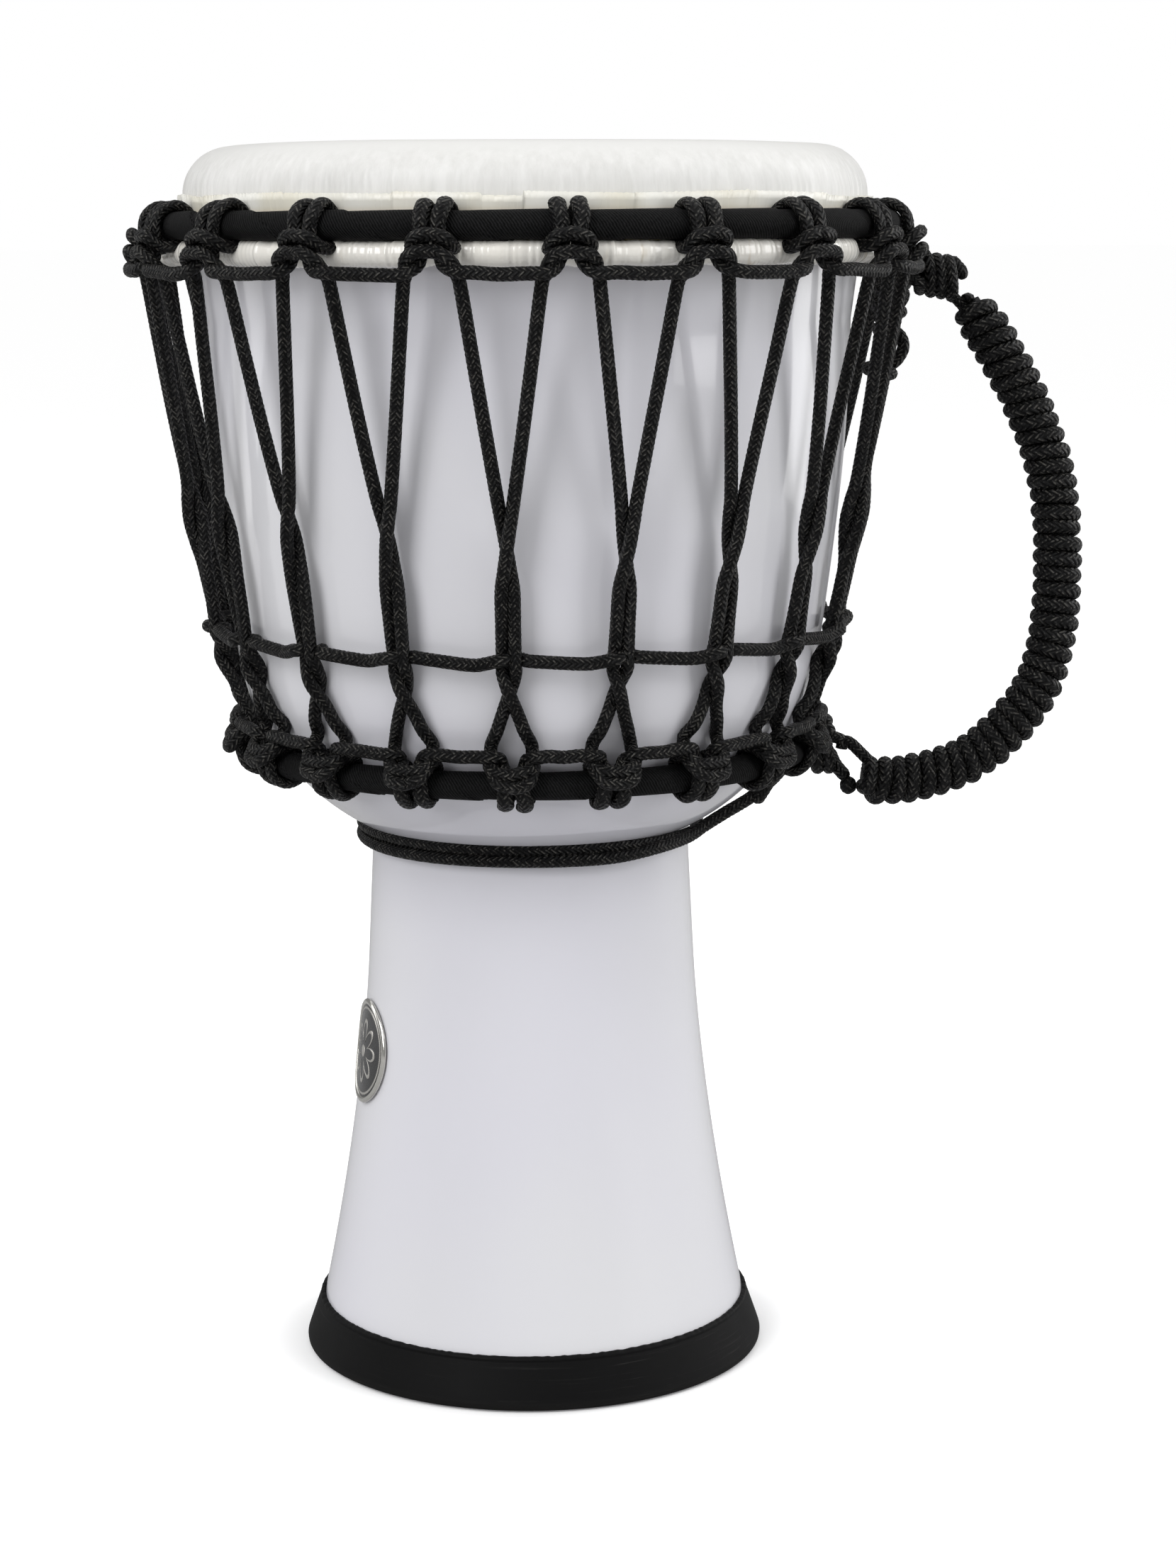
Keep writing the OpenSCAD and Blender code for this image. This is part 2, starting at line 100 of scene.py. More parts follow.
def grid(points, wrap_rows=False, wrap_cols=True, caps=(), uv=None):
    """A sheet through a rows x columns grid of points: points, quads and their uv, triangles and theirs.

    wrap_rows and wrap_cols join the last row or column to the first. caps lists "start" and "end" where
    a row is closed to its own middle with a fan. uv is one (u, v) per row and column, with one more
    column and row than the grid where it wraps, so that a pattern meets itself."""
    rows, cols = points.shape[:2]
    i = np.arange(rows - (not wrap_rows))[:, None]
    j = np.arange(cols - (not wrap_cols))[None, :]
    corners = [(i, j), (i, j + 1), (i + 1, j + 1), (i + 1, j)]
    quads = np.stack([a % rows * cols + b % cols for a, b in corners], -1).reshape(-1, 4)
    if uv is None:
        u = np.arange(cols + 1) / cols
        v = np.arange(rows + 1) / rows
        uv = np.stack(np.meshgrid(u, v), -1)
    quad_uv = np.stack([uv[a + 0 * b, b + 0 * a] for a, b in corners], 2).reshape(-1, 4, 2)
    flat = points.reshape(-1, 3)
    tris, tri_uv = [], []
    for end in caps:
        row = 0 if end == "start" else rows - 1
        middle = points[row].mean(0)
        k = np.arange(cols)
        ring = row * cols + np.stack([k, (k + 1) % cols], -1)
        fan = np.concatenate([ring, np.full((cols, 1), len(flat))], 1)
        corner = np.concatenate([uv[row][np.stack([k, k + 1], -1)],
                                 uv[row][k][:, None]], 1)
        flat = np.concatenate([flat, middle[None]])
        tris.append(fan[:, ::-1] if end == "start" else fan)
        tri_uv.append(corner[:, ::-1] if end == "start" else corner)
    if tris:
        return flat, quads, quad_uv, np.concatenate(tris), np.concatenate(tri_uv)
    return flat, quads, quad_uv, np.zeros((0, 3), int), np.zeros((0, 3, 2))


def outward(part):
    """The same sheet with its faces turned to point out, judged by the volume that they close."""
    points, quads, quad_uv, tris, tri_uv = part
    a, b, c, d = (points[quads[:, k]] for k in range(4))
    volume = (a * np.cross(b, c)).sum() + (a * np.cross(c, d)).sum()
    e, f, g = (points[tris[:, k]] for k in range(3))
    volume += (e * np.cross(f, g)).sum()
    if volume < 0:
        return points, quads[:, ::-1], quad_uv[:, ::-1], tris[:, ::-1], tri_uv[:, ::-1]
    return part


def piece(name, parts, finish, body="drum", replaces=()):
    """Joins closed sheets into one named mesh that rides on a CAD body."""
    parts = [outward(p) for p in parts]
    starts = np.cumsum([0] + [len(p[0]) for p in parts[:-1]])
    points = np.concatenate([p[0] for p in parts]) * MM
    quads = np.concatenate([p[1] + s for p, s in zip(parts, starts)])
    tris = np.concatenate([p[3] + s for p, s in zip(parts, starts)])
    uv = np.concatenate([np.concatenate([p[2] for p in parts]).reshape(-1, 2),
                         np.concatenate([p[4] for p in parts]).reshape(-1, 2)])
    mesh = bpy.data.meshes.new(name)
    mesh.vertices.add(len(points))
    mesh.vertices.foreach_set("co", points.astype(np.float32).ravel())
    mesh.loops.add(quads.size + tris.size)
    corners = np.concatenate([quads.ravel(), tris.ravel()])
    mesh.loops.foreach_set("vertex_index", corners.astype(np.int32))
    mesh.polygons.add(len(quads) + len(tris))
    begins = np.concatenate([np.arange(len(quads)) * 4, quads.size + np.arange(len(tris)) * 3])
    mesh.polygons.foreach_set("loop_start", begins.astype(np.int32))
    mesh.polygons.foreach_set("use_smooth", np.ones(len(begins), bool))
    mesh.uv_layers.new(name="UVMap").data.foreach_set("uv", uv.astype(np.float32).ravel())
    mesh.materials.append(finish)
    mesh.update(calc_edges=True)
    mesh.validate()
    made = bpy.data.objects.new(name, mesh)
    bpy.context.scene.collection.objects.link(made)
    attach(made, body)
    if replaces:
        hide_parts(*replaces)
    return made


def around(angle, r, z):
    """The point at an angle in degrees round the axis, a distance from it, and a height."""
    a = np.radians(angle)
    r = np.asarray(r, float)
    return np.stack(np.broadcast_arrays(r * np.cos(a), r * np.sin(a), z), -1)


def beside(angle, t, r, z):
    """A place in the rope work: t sideways of a hitch at this angle, at distance r and height z."""
    return around(angle + np.degrees(np.asarray(t, float) / r), r, z)


def turned(profile, count, shift=None):
    """A profile of (r, z) carried once round the axis in count steps, closed both ways.

    shift(angle, r, z) gives what to add to r and z at each place of the grid."""
    profile = np.asarray(profile, float)
    angle = np.arange(count) / count * TAU
    r = np.repeat(profile[:, :1], count, 1)
    z = np.repeat(profile[:, 1:], count, 1)
    if shift:
        dr, dz = shift(angle[None, :], r, z)
        r, z = r + dr, z + dz
    return np.stack([r * np.cos(angle), r * np.sin(angle), z], -1)


def smooth(points, step, parts=14):
    """A Catmull-Rom curve through the points, then points at equal steps along it.

    Columns after the third, such as a widening, are carried along with the place."""
    p = np.asarray(points, float)
    q = np.concatenate([2 * p[:1] - p[1:2], p, 2 * p[-1:] - p[-2:-1]])
    a, b, c, d = q[:-3], q[1:-2], q[2:-1], q[3:]
    f = (np.arange(parts) / parts)[:, None, None]
    curve = 0.5 * (2 * b + (c - a) * f + (2 * a - 5 * b + 4 * c - d) * f**2
                   + (3 * b - a - 3 * c + d) * f**3)
    curve = np.concatenate([curve.transpose(1, 0, 2).reshape(-1, p.shape[1]), p[-1:]])
    length = np.concatenate([[0], np.cumsum(np.linalg.norm(np.diff(curve[:, :3], axis=0), axis=1))])
    s = np.linspace(0, length[-1], max(2, round(length[-1] / step)) + 1)
    return np.stack([np.interp(s, length, curve[:, k]) for k in range(p.shape[1])], 1)


def frames(path):
    """Tangents and twist-free normals of a path.

    A fixed direction is squared to every tangent, each is carried to the next point by two mirrorings,
    and the turn that this leaves is summed and taken out."""
    t = unit(np.gradient(path, axis=0))
    rough = np.array([0.31, 0.27, 0.91])
    n = unit(rough - (t @ rough)[:, None] * t)
    b = np.cross(t, n)

    def mirrored(v, across):
        return v - 2 * (v * across).sum(1, keepdims=True) * across
    first = unit(path[1:] - path[:-1])
    second = unit(t[1:] - mirrored(t[:-1], first) + 1e-15)
    carried = mirrored(mirrored(n[:-1], first), second)
    step = np.arctan2((carried * b[1:]).sum(1), (carried * n[1:]).sum(1))
    gathered = np.concatenate([[0], np.cumsum(step)])[:, None]
    return t, np.cos(gathered) * n + np.sin(gathered) * b


# ---- rope ----
BRAID_COLUMNS = 8  # columns of the braid round the rope
BRAID_STEP = 1.45  # length along the rope that one strand takes up
BRAID_RELIEF = 0.055  # height of a strand, as a share of the rope's radius
ROPE_SIDES = 16
ROPE_STEP = 0.62


def braid(u, v):
    """Height of a braid from 0 to 1. Two sets of strands cross, and each passes over two of the other
    and under two, so the same set is on top all the way along a column.

    a = columns * u + v and b = columns * u - v number the strands of the two sets; the one on top is
    told by the sum of their whole parts, and its height is an arch across its own width."""
    a = BRAID_COLUMNS * u + v
    b = BRAID_COLUMNS * u - v
    over = (np.floor(a) + np.floor(b)) % 4 < 2
    return np.sin(np.pi * (np.where(over, a, b) % 1))


def rope(points, radius=ROPE_R, tips=(), start=0.0):
    """A braided rope along a curve through points: path + radius * (cos u * normal + sin u * binormal).

    A fourth column widens it sideways round the drum and thins it the other way by the same factor.
    tips rounds off the start or the end of the rope, as a melted cut is. start is how far along the
    whole rope this length begins, so that the braid of two lengths meets."""
    path = smooth(points, ROPE_STEP)
    along, wide = path[:, :3], (path[:, 3] if path.shape[1] > 3 else np.ones(1))
    t, n = frames(along)
    s = np.arange(len(along)) * ROPE_STEP + start
    u = np.arange(ROPE_SIDES) / ROPE_SIDES
    ring = (np.cos(TAU * u)[None, :, None] * n[:, None]
            + np.sin(TAU * u)[None, :, None] * np.cross(t, n)[:, None])
    size = np.full(len(along), float(radius))
    for tip in tips:
        gone = np.clip(1 - (s - s[0] if tip == "start" else s[-1] - s) / radius, 0, 0.97)
        size *= np.sqrt(1 - gone**2)
    relief = 1 - BRAID_RELIEF + 2 * BRAID_RELIEF * braid(u[None, :], s[:, None] / BRAID_STEP)
    offset = ring * (size[:, None] * relief)[..., None]
    side = unit(np.stack([-along[:, 1], along[:, 0], 0 * along[:, 0]], 1))[:, None]
    sideways = (offset * side).sum(-1, keepdims=True) * side
    wide = wide.reshape(-1, 1, 1)
    offset = (offset - sideways) / wide + sideways * wide
    v = np.concatenate([s, s[-1:] + ROPE_STEP]) / BRAID_STEP
    uv = np.stack(np.meshgrid(np.arange(ROPE_SIDES + 1) / ROPE_SIDES, v), -1)
    return grid(along[:, None] + offset, caps=("start", "end"), uv=uv)


def rope_length(points):
    """Length of the smooth curve through the points."""
    path = smooth(points, 1.0)[:, :3]
    return np.linalg.norm(np.diff(path, axis=0), axis=1).sum()


# ---- materials ----
class Value:
    """A number or colour that varies over a surface. Python's operators add Math nodes to it."""

    def __init__(self, finish, socket):
        self.finish, self.socket = finish, socket

    def math(self, operation, *values):
        return self.finish.node("Math", {"operation": operation}, dict(enumerate(values)))

    def __add__(self, other): return self.math("ADD", self, other)
    def __sub__(self, other): return self.math("SUBTRACT", self, other)
    def __mul__(self, other): return self.math("MULTIPLY", self, other)
    def __mod__(self, other): return self.math("FLOORED_MODULO", self, other)
    def __pow__(self, other): return self.math("POWER", self, other)
    def __lt__(self, other): return self.math("LESS_THAN", self, other)
    def __radd__(self, other): return self.math("ADD", other, self)
    def __rsub__(self, other): return self.math("SUBTRACT", other, self)
    def __rmul__(self, other): return self.math("MULTIPLY", other, self)

    def floor(self): return self.math("FLOOR", self)
    def sine(self): return self.math("SINE", self)
    def maximum(self, other): return self.math("MAXIMUM", self, other)
    def minimum(self, other): return self.math("MINIMUM", self, other)

    def ramp(self, low, high):
        """0 below low, 1 above high and a smooth S between."""
        return self.finish.node("MapRange", {"interpolation_type": "SMOOTHSTEP"},
                                {"Value": self, "From Min": low, "From Max": high})


class Finish:
    """A Principled material and the nodes that vary it over the surface."""

    def __init__(self, name, color, roughness, **constants):
        self.material = bpy.data.materials.new(name)
        self.material.use_nodes = True
        self.tree = self.material.node_tree
        self.shader = self.tree.nodes["Principled BSDF"]
        self.set(self.shader, {"Base Color": color, "Roughness": roughness,
                               **{k.replace("_", " "): v for k, v in constants.items()}})

    def set(self, node, inputs):
        """Puts values, or links from Values, on a node's sockets by name or number."""
        for key, value in inputs.items():
            if isinstance(value, Value):
                self.tree.links.new(value.socket, node.inputs[key])
            elif isinstance(value, tuple) and len(value) == 3 and node.inputs[key].type == "RGBA":
                node.inputs[key].default_value = (*value, 1)
            else:
                node.inputs[key].default_value = value

    def node(self, kind, settings=None, inputs=None, output=0):
        """Adds a shader node: its settings first, then its sockets. Gives one of its outputs."""
        made = self.tree.nodes.new("ShaderNode" + kind)
        for key, value in (settings or {}).items():
            setattr(made, key, value)
        self.set(made, inputs or {})
        return Value(self, made.outputs[output])

    def place(self):
        """Object coordinates, in metres."""
        return self.node("TexCoord", output="Object")

    def parts(self, vector):
        """The three numbers of a vector."""
        split = self.node("SeparateXYZ", inputs={0: vector})
        return [Value(self, socket) for socket in split.socket.node.outputs]

    def uv(self):
        """The piece's own u and v."""
        return self.parts(self.node("TexCoord", output="UV"))[:2]

    def noise(self, vector, scale, detail=3.0, roughness=0.5):
        """Smooth noise from 0 to 1, with this many ripples to the metre."""
        return self.node("TexNoise", inputs={"Vector": vector, "Scale": scale, "Detail": detail,
                                             "Roughness": roughness}, output="Fac")

    def stretched(self, vector, scale):
        """A vector with each of its parts multiplied."""
        return self.node("VectorMath", {"operation": "MULTIPLY"}, {0: vector, 1: scale})

    def mix(self, factor, a, b):
        """Colour a where the factor is 0 and colour b where it is 1."""
        return self.node("Mix", {"data_type": "RGBA"}, {0: factor, 6: a, 7: b}, output=2)

    def bump(self, height, distance, strength):
        """A normal bent by a height from 0 to 1 that stands for this distance in metres."""
        return self.node("Bump", inputs={"Height": height, "Distance": distance, "Strength": strength})

    def feeds(self, **sockets):
        """Links values to the shader's own sockets."""
        self.set(self.shader, {k.replace("_", " "): v for k, v in sockets.items()})
        return self.material


def rope_finish():
    """Black braided cord: the same braid as the mesh's own relief, with fine fibres along each strand, a
    little lighter on the crests as painted shade, and here and there a crest painted grey as a
    highlight."""
    f = Finish("braided_black_rope", (0.004, 0.004, 0.004), 0.42, Specular_IOR_Level=0.16)
    u, v = f.uv()
    a = u * BRAID_COLUMNS + v
    b = u * BRAID_COLUMNS - v
    over = ((a.floor() + b.floor()) % 4) < 2
    across = over * (a % 1) + (1 - over) * (b % 1)
    arch = (across * math.pi).sine()
    fibres = (across * (TAU * 4)).sine() * 0.5 + 0.5
    place = f.place()
    # painted highlight: a grey line along the crest of a strand here and there
    crest_highlight = (arch ** 7) * f.noise(place, 900.0, 2.0).ramp(0.46, 0.62)
    cloud = f.noise(place, 60.0, 2.0)
    # lighter on the strands' crests and darker between them, painted shade, over a random cloud of tone
    tone = f.mix(arch * 0.6 + cloud * 0.4, (0.0012, 0.0012, 0.0013), (0.0042, 0.0042, 0.0044))
    return f.feeds(Base_Color=f.mix(crest_highlight * 0.75, tone, (0.105, 0.100, 0.090)),
                   Roughness=0.52 - arch * 0.22 + cloud * 0.12,
                   Normal=f.bump(arch + fibres * 0.10, 0.00034, 1.0))


def shell_finish():
    """Glossy white lacquer: a cool white that drifts a little, under a faint orange-peel ripple."""
    f = Finish("white_lacquer", (0.80, 0.795, 0.835), 0.16, Coat_Weight=0.35, Coat_Roughness=0.03,
               Specular_IOR_Level=0.3)
    place = f.place()
    cloud = f.noise(place, 9.0, 2.0)
    peel = f.noise(place, 300.0, 1.0)
    tone = f.mix(cloud.ramp(0.3, 0.7), (0.775, 0.77, 0.83), (0.80, 0.80, 0.825))
    return f.feeds(Base_Color=tone, Roughness=0.10 + cloud * 0.08, Normal=f.bump(peel, 0.00002, 0.25))


def film_finish():
    """Drumhead film: off-white, with fine creases that run down over the edge, painted darker in their
    troughs as shade, and a dark tan band low on the collar, below the crown ring, that is painted shade.
    """
    f = Finish("drumhead_film", (0.83, 0.825, 0.80), 0.38, Specular_IOR_Level=0.45)
    place = f.place()
    z = f.parts(place)[2]
    streaks = f.noise(f.stretched(place, (1, 1, 0.06)), 520.0, 4.0, 0.62)
    coarse = f.noise(f.stretched(place, (1, 1, 0.10)), 150.0, 3.0, 0.6)
    mottle = f.noise(place, 60.0, 4.0)
    side = 1 - z.ramp(0.3120, 0.3172)
    # painted shade: dark tan on the collar below the crown ring, in the gap between ring and hem
    under = 1 - z.ramp(0.2975, 0.2995)
    # painted shade: the colour darkens in the troughs of the creases and lightens on their ridges
    crease = (streaks - 0.5) * side
    tone = f.mix((crease * 2.4 + (coarse - 0.5) * side * 1.2 + 0.5).maximum(0).minimum(1),
                 (0.70, 0.695, 0.675), (0.82, 0.815, 0.80))
    tone = f.mix(mottle * 0.35, tone, (0.76, 0.76, 0.73))
    # painted shade below the crown ring
    tone = f.mix(under, tone, (0.40, 0.33, 0.21))
    height = streaks * side + coarse * 1.4 * side + mottle * 0.25
    return f.feeds(Base_Color=tone, Roughness=0.34 + mottle * 0.18, Normal=f.bump(height, 0.00016, 0.5))


def hem_finish():
    """The film where it is rolled round its hoop: glossy cream, pleated, with brown streaks here and
    there that are painted shade of its laps.
    """
    f = Finish("rolled_film_hem", (0.92, 0.90, 0.84), 0.2, Coat_Weight=0.8, Coat_Roughness=0.06)
    place = f.place()
    pleats = f.noise(f.stretched(place, (1, 1, 0.05)), 800.0, 3.0, 0.6)
    folds = f.noise(f.stretched(place, (1, 1, 0.05)), 170.0, 2.0)
    # painted shade: brown streaks standing for the shade at the steps of the laps, placed at random
    brown_shade_streaks = f.noise(f.stretched(place, (1, 1, 0.12)), 300.0, 2.0).ramp(0.60, 0.74)
    tone = f.mix(folds, (0.955, 0.92, 0.835), (0.98, 0.965, 0.92))
    return f.feeds(Base_Color=f.mix(brown_shade_streaks * 0.45, tone, (0.62, 0.52, 0.36)),
                   Roughness=0.14 + pleats * 0.14, Normal=f.bump(pleats * 0.6 + folds, 0.00022, 0.6))


def strip_finish():
    """The trimmed edge of the film above the ring: cream, and darker tan where it meets the ring, a
    painted shade.
    """
    f = Finish("trimmed_film_edge", (0.86, 0.84, 0.74), 0.25, Specular_IOR_Level=0.5)
    place = f.place()
    z = f.parts(place)[2]
    grain = f.noise(f.stretched(place, (1, 1, 0.1)), 420.0, 3.0)
    patch = f.noise(f.stretched(place, (1, 1, 0.2)), 60.0, 2.0)
    # painted shade: darker tan low on the strip, where it meets the ring
    low = 1 - z.ramp(0.3000, 0.3028)
    tone = f.mix(patch.ramp(0.35, 0.65), (0.82, 0.79, 0.68), (0.90, 0.89, 0.83))
    return f.feeds(Base_Color=f.mix(low * 0.5, tone, (0.66, 0.53, 0.33)), Roughness=0.18 + grain * 0.2,
                   Normal=f.bump(grain + patch * 2, 0.0002, 0.5))


def tape_finish():
    """Black cotton tape wound on a ring: a fine twill that leans across it, its ribs and fine flecks
    painted lighter grey as highlights.
    """
    f = Finish("twill_tape", (0.010, 0.010, 0.010), 0.75, Specular_IOR_Level=0.1)
    u, v = f.uv()
    ribs = ((u + v * 0.55) * TAU).sine() * 0.5 + 0.5
    threads = ((u * 3.1 - v * 2.2) * TAU).sine() * 0.5 + 0.5
    speckle = f.noise(f.place(), 1500.0, 2.0)
    # painted highlight: lighter grey on the twill's ribs and in fine flecks
    tone = (ribs * 0.5 + speckle * 0.8 - 0.35).maximum(0).minimum(1)
    return f.feeds(Base_Color=f.mix(tone, (0.0012, 0.0012, 0.0013), (0.024, 0.024, 0.0245)),
                   Roughness=0.68 + speckle * 0.2, Normal=f.bump(ribs + threads * 0.25, 0.00016, 1.0))


def rubber_finish():
    """Matt black rubber with faint scuffs that run round it."""
    f = Finish("foot_rubber", (0.012, 0.012, 0.012), 0.62, Specular_IOR_Level=0.12)
    place = f.place()
    z = f.parts(place)[2]
    scuffs = f.noise(f.stretched(place, (0.25, 0.25, 9)), 160.0, 4.0, 0.65)
    cloud = f.noise(place, 45.0, 4.0)
    grain = f.noise(place, 1400.0, 2.0)
    wear = scuffs.ramp(0.56, 0.80) * cloud.ramp(0.38, 0.62)
    foot = 1 - z.ramp(0.0005, 0.003)
    tone = f.mix((wear * 0.6 + foot * 0.25).minimum(1), (0.0030, 0.0030, 0.0032), (0.034, 0.033, 0.031))
    return f.feeds(Base_Color=tone, Roughness=0.52 + cloud * 0.2 - wear * 0.1,
                   Normal=f.bump(grain * 0.4 + scuffs * 0.4, 0.00008, 0.5))


def metal_finish(name, color, roughness):
    """Bare metal with fine scratches in every direction."""
    f = Finish(name, color, roughness, Metallic=1.0)
    scratch = f.noise(f.stretched(f.place(), (1, 1, 6)), 300.0, 4.0, 0.7)
    dull = f.mix(scratch, tuple(c * 0.82 for c in color), color)
    return f.feeds(Base_Color=dull, Roughness=roughness * 0.7 + scratch * roughness * 0.6,
                   Normal=f.bump(scratch, 0.00001, 0.3))


def enamel_finish():
    """Black enamel of the badge with its raised lines left as bright metal."""
    f = Finish("badge_enamel", (0.012, 0.012, 0.013), 0.2, Coat_Weight=0.3, Coat_Roughness=0.1)
    raised, _ = f.uv()
    bright = raised.ramp(0.45, 0.55)
    speckle = f.noise(f.place(), 900.0, 3.0)
    return f.feeds(Base_Color=f.mix(bright, (0.012, 0.012, 0.013), (0.62, 0.60, 0.56)), Metallic=bright,
                   Roughness=0.2 + speckle * 0.16, Normal=f.bump(speckle, 0.00001, 0.3))


def adhesive_finish():
    """Dark foam adhesive with a soft grain."""
    f = Finish("foam_adhesive", (0.05, 0.05, 0.05), 0.8)
    grain = f.noise(f.place(), 700.0, 3.0)
    return f.feeds(Base_Color=f.mix(grain, (0.035, 0.035, 0.035), (0.05, 0.05, 0.05)),
                   Roughness=0.64 + grain * 0.32, Normal=f.bump(grain, 0.00005, 0.6))


ROPE = rope_finish()
LACQUER = shell_finish()
FILM = film_finish()
HEM = hem_finish()
STRIP = strip_finish()
TAPE = tape_finish()
RUBBER = rubber_finish()
CHROME = metal_finish("badge_chrome", (0.80, 0.785, 0.74), 0.16)
STEEL = metal_finish("ring_steel", (0.42, 0.42, 0.43), 0.38)
ENAMEL = enamel_finish()
ADHESIVE = adhesive_finish()


# ---- shell ----
def pipe_r(z):
    """Outer radius of the pipe: a slow taper, then a flare that steepens towards the foot."""
    taper, flare_z = 0.05, WAIST_Z - 34
    flare = PIPE_FOOT_R - PIPE_TOP_R - taper * (WAIST_Z - FOOT_H)
    down = np.clip((flare_z - z) / (flare_z - FOOT_H), 0, 1)
    return PIPE_TOP_R + taper * (WAIST_Z - z) + flare * down**1.75


# The round bend under the bowl: its radius, and the place of its middle
BEND_R, BEND_MID_R, BEND_Z = 60.2, 16.4, 196.6


def shell_sides():
    """Outer profile of the shell as (r, z) from the sole to the top of the bowl's side: the pipe, a
    small round at the waist, the round bend under the bowl, and the side opening out as a sine."""
    z = np.linspace(FOOT_SOLE + 0.05, WAIST_Z - 1.6, 46)
    pipe = np.stack([pipe_r(z), z], 1)
    a = np.radians(np.linspace(-64.2, -7, 34))
    bend = np.stack([BEND_MID_R + BEND_R * np.cos(a), BEND_Z + BEND_R * np.sin(a)], 1)
    f = np.linspace(0, 1, 16)[1:, None]
    side = bend[-1:] + ([BOWL_R, CROWN_Z - 24] - bend[-1:]) * np.concatenate(
        [np.sin(f * math.pi / 2), f], 1)
    return np.concatenate([pipe, bend, side])


def shell_body():
    """The shell as one closed skin: outer profile, rounded rim, and the wall's inner face."""
    outer = shell_sides()
    along = unit(np.gradient(outer, axis=0))
    inner = outer + SHELL_WALL * np.stack([-along[:, 1], along[:, 0]], 1)
    inner[0] = outer[0] - [SHELL_WALL, 0]
    rim_r, rim_z = COLLAR_R - FILM_T - 0.05, DRUM_H - FILM_T - 0.05
    a = np.radians(np.linspace(0, 90, 10))
    edge = np.stack([rim_r - EDGE_R + EDGE_R * np.cos(a), rim_z - EDGE_R + EDGE_R * np.sin(a)], 1)
    rim = np.concatenate([[[rim_r - 1.4, CROWN_Z - 8]], edge, [[rim_r - EDGE_R - 1, rim_z - 1.2]],
                          [[BOWL_R - SHELL_WALL - 1.6, rim_z - EDGE_R - 6]]])
    loop = np.concatenate([outer, rim, inner[::-1]])
    return piece("shell_body", [grid(turned(loop, 320), wrap_rows=True)], LACQUER,
                 replaces=["shell"])


# ---- rubber foot ----
def foot_boot():
    """Rubber foot: a rounded outside, a thin lip under the top edge, and a slightly ragged top."""
    top = pipe_r(FOOT_H) + 0.05
    inner = pipe_r(FOOT_SOLE) - SHELL_WALL - 0.05
    z = np.linspace(FOOT_H, FOOT_SOLE, 10)
    outside = smooth(np.array([[inner - 2.0, 0, 0], [inner + 2, 0, 0], [FOOT_R - 2.2, 0, 0],
                               [FOOT_R - 0.5, 0, 0.35], [FOOT_R, 0, 1.3], [FOOT_R - 0.35, 0, 3.0],
                               [top + 1.55, 0, FOOT_H - 1.9], [top + 1.25, 0, FOOT_H - 1.2],
                               [top + 1.3, 0, FOOT_H - 0.75], [top + 1.0, 0, FOOT_H - 0.2],
                               [top + 0.5, 0, FOOT_H]]), 0.45)[:, [0, 2]]
    inside = np.concatenate([np.stack([pipe_r(z) + 0.05, z], 1),
                             [[inner, FOOT_SOLE], [inner - 0.4, FOOT_H - 5], [inner - 2.0, FOOT_H - 5],
                              [inner - 2.2, FOOT_H - 6], [inner - 2.2, 0.6]]])
    waves = [(k, rng.uniform(0, TAU), rng.uniform(0.4, 1)) for k in rng.integers(30, 190, 14)]

    def ragged(angle, r, z):
        rough = sum(w * np.sin(k * angle + p) for k, p, w in waves) / 5
        near = ramp(z, FOOT_H - 1.6, FOOT_H)
        return 0.05 * rough * near, 0.16 * rough * near
    loop = np.concatenate([outside, inside])
    return piece("foot_boot", [grid(turned(loop, 720, ragged), wrap_rows=True)], RUBBER,
                 replaces=["foot_ring"])


# ---- drumhead ----
def periodic(count, low, high, power=0.0):
    """A sum of sines round the drum with whole numbers of waves between low and high."""
    waves = rng.integers(low, high, count)
    phase = rng.uniform(0, TAU, count)
    size = rng.uniform(0.3, 1, count) / waves**power
    size /= np.sqrt((size**2).sum() / 2)
    return lambda angle: sum(s * np.sin(k * angle + p) for k, p, s in zip(waves, phase, size))


def drumhead():
    """The film: a flat disc, a rounded edge, a collar with creases that deepen downwards and reach
    behind the hoop, closed by its own inner face."""
    r, z, e = COLLAR_R, DRUM_H, EDGE_R
    a = np.radians(np.linspace(90, 0, 18))
    edge = np.stack([r - e + e * np.cos(a), z - e + e * np.sin(a)], 1)
    flat = np.stack([np.linspace(0.01, r - e, 14)[:-1], np.full(13, z)], 1)
    below = np.array([[r + 0.05, 303.5], [r + 0.05, 301.8], [r, 299.5], [r - 0.1, 297],
                      [r - 0.2, 294.2], [r - 0.2, 291.5], [r - 0.25, 289.3]])
    outer = np.concatenate([flat, edge, below])
    inner = outer[::-2] - [FILM_T, 0]
    inner[:, 1] -= FILM_T * ramp(inner[:, 1], z - e, z)
    inner[-1] = [0.01, z - FILM_T]
    fine = periodic(26, 60, 420)
    broad = periodic(14, 12, 70)
    swell = periodic(5, 2, 9)
    loop = np.concatenate([outer, inner])
    count = len(outer)

    def creased(angle, r, z):
        row = np.arange(len(loop))[:, None]
        depth = 1 - ramp(z, 303.5, DRUM_H - 0.6)
        shown = (row < count) & (z > 296)
        pull = (0.055 * fine(angle + 0.004 * np.sin(z * 0.9)) + 0.07 * broad(angle)) * depth
        return shown * (pull - 0.06 * depth), -0.10 * swell(angle) * ramp(r, 60, 80) * (z > 316)
    return piece("drumhead_film", [grid(turned(loop, 1260, creased), caps=("start", "end"))], FILM,
                 replaces=["drumhead"])


def laps(count, low, high):
    """Places round the drum where one layer of film ends on the next, and the value of each stretch."""
    edges = np.sort((np.arange(count) + rng.uniform(0.1, 0.9, count)) / count * TAU)
    return edges, rng.uniform(low, high, count)


def stretch_of(angle, edges):
    """Number of the stretch that an angle lies in, and how far along it from 0 to 1."""
    k = np.searchsorted(edges, angle) % len(edges)
    before, after = edges[k - 1], edges[k]
    return k, ((angle - before) % TAU) / ((after - before) % TAU)


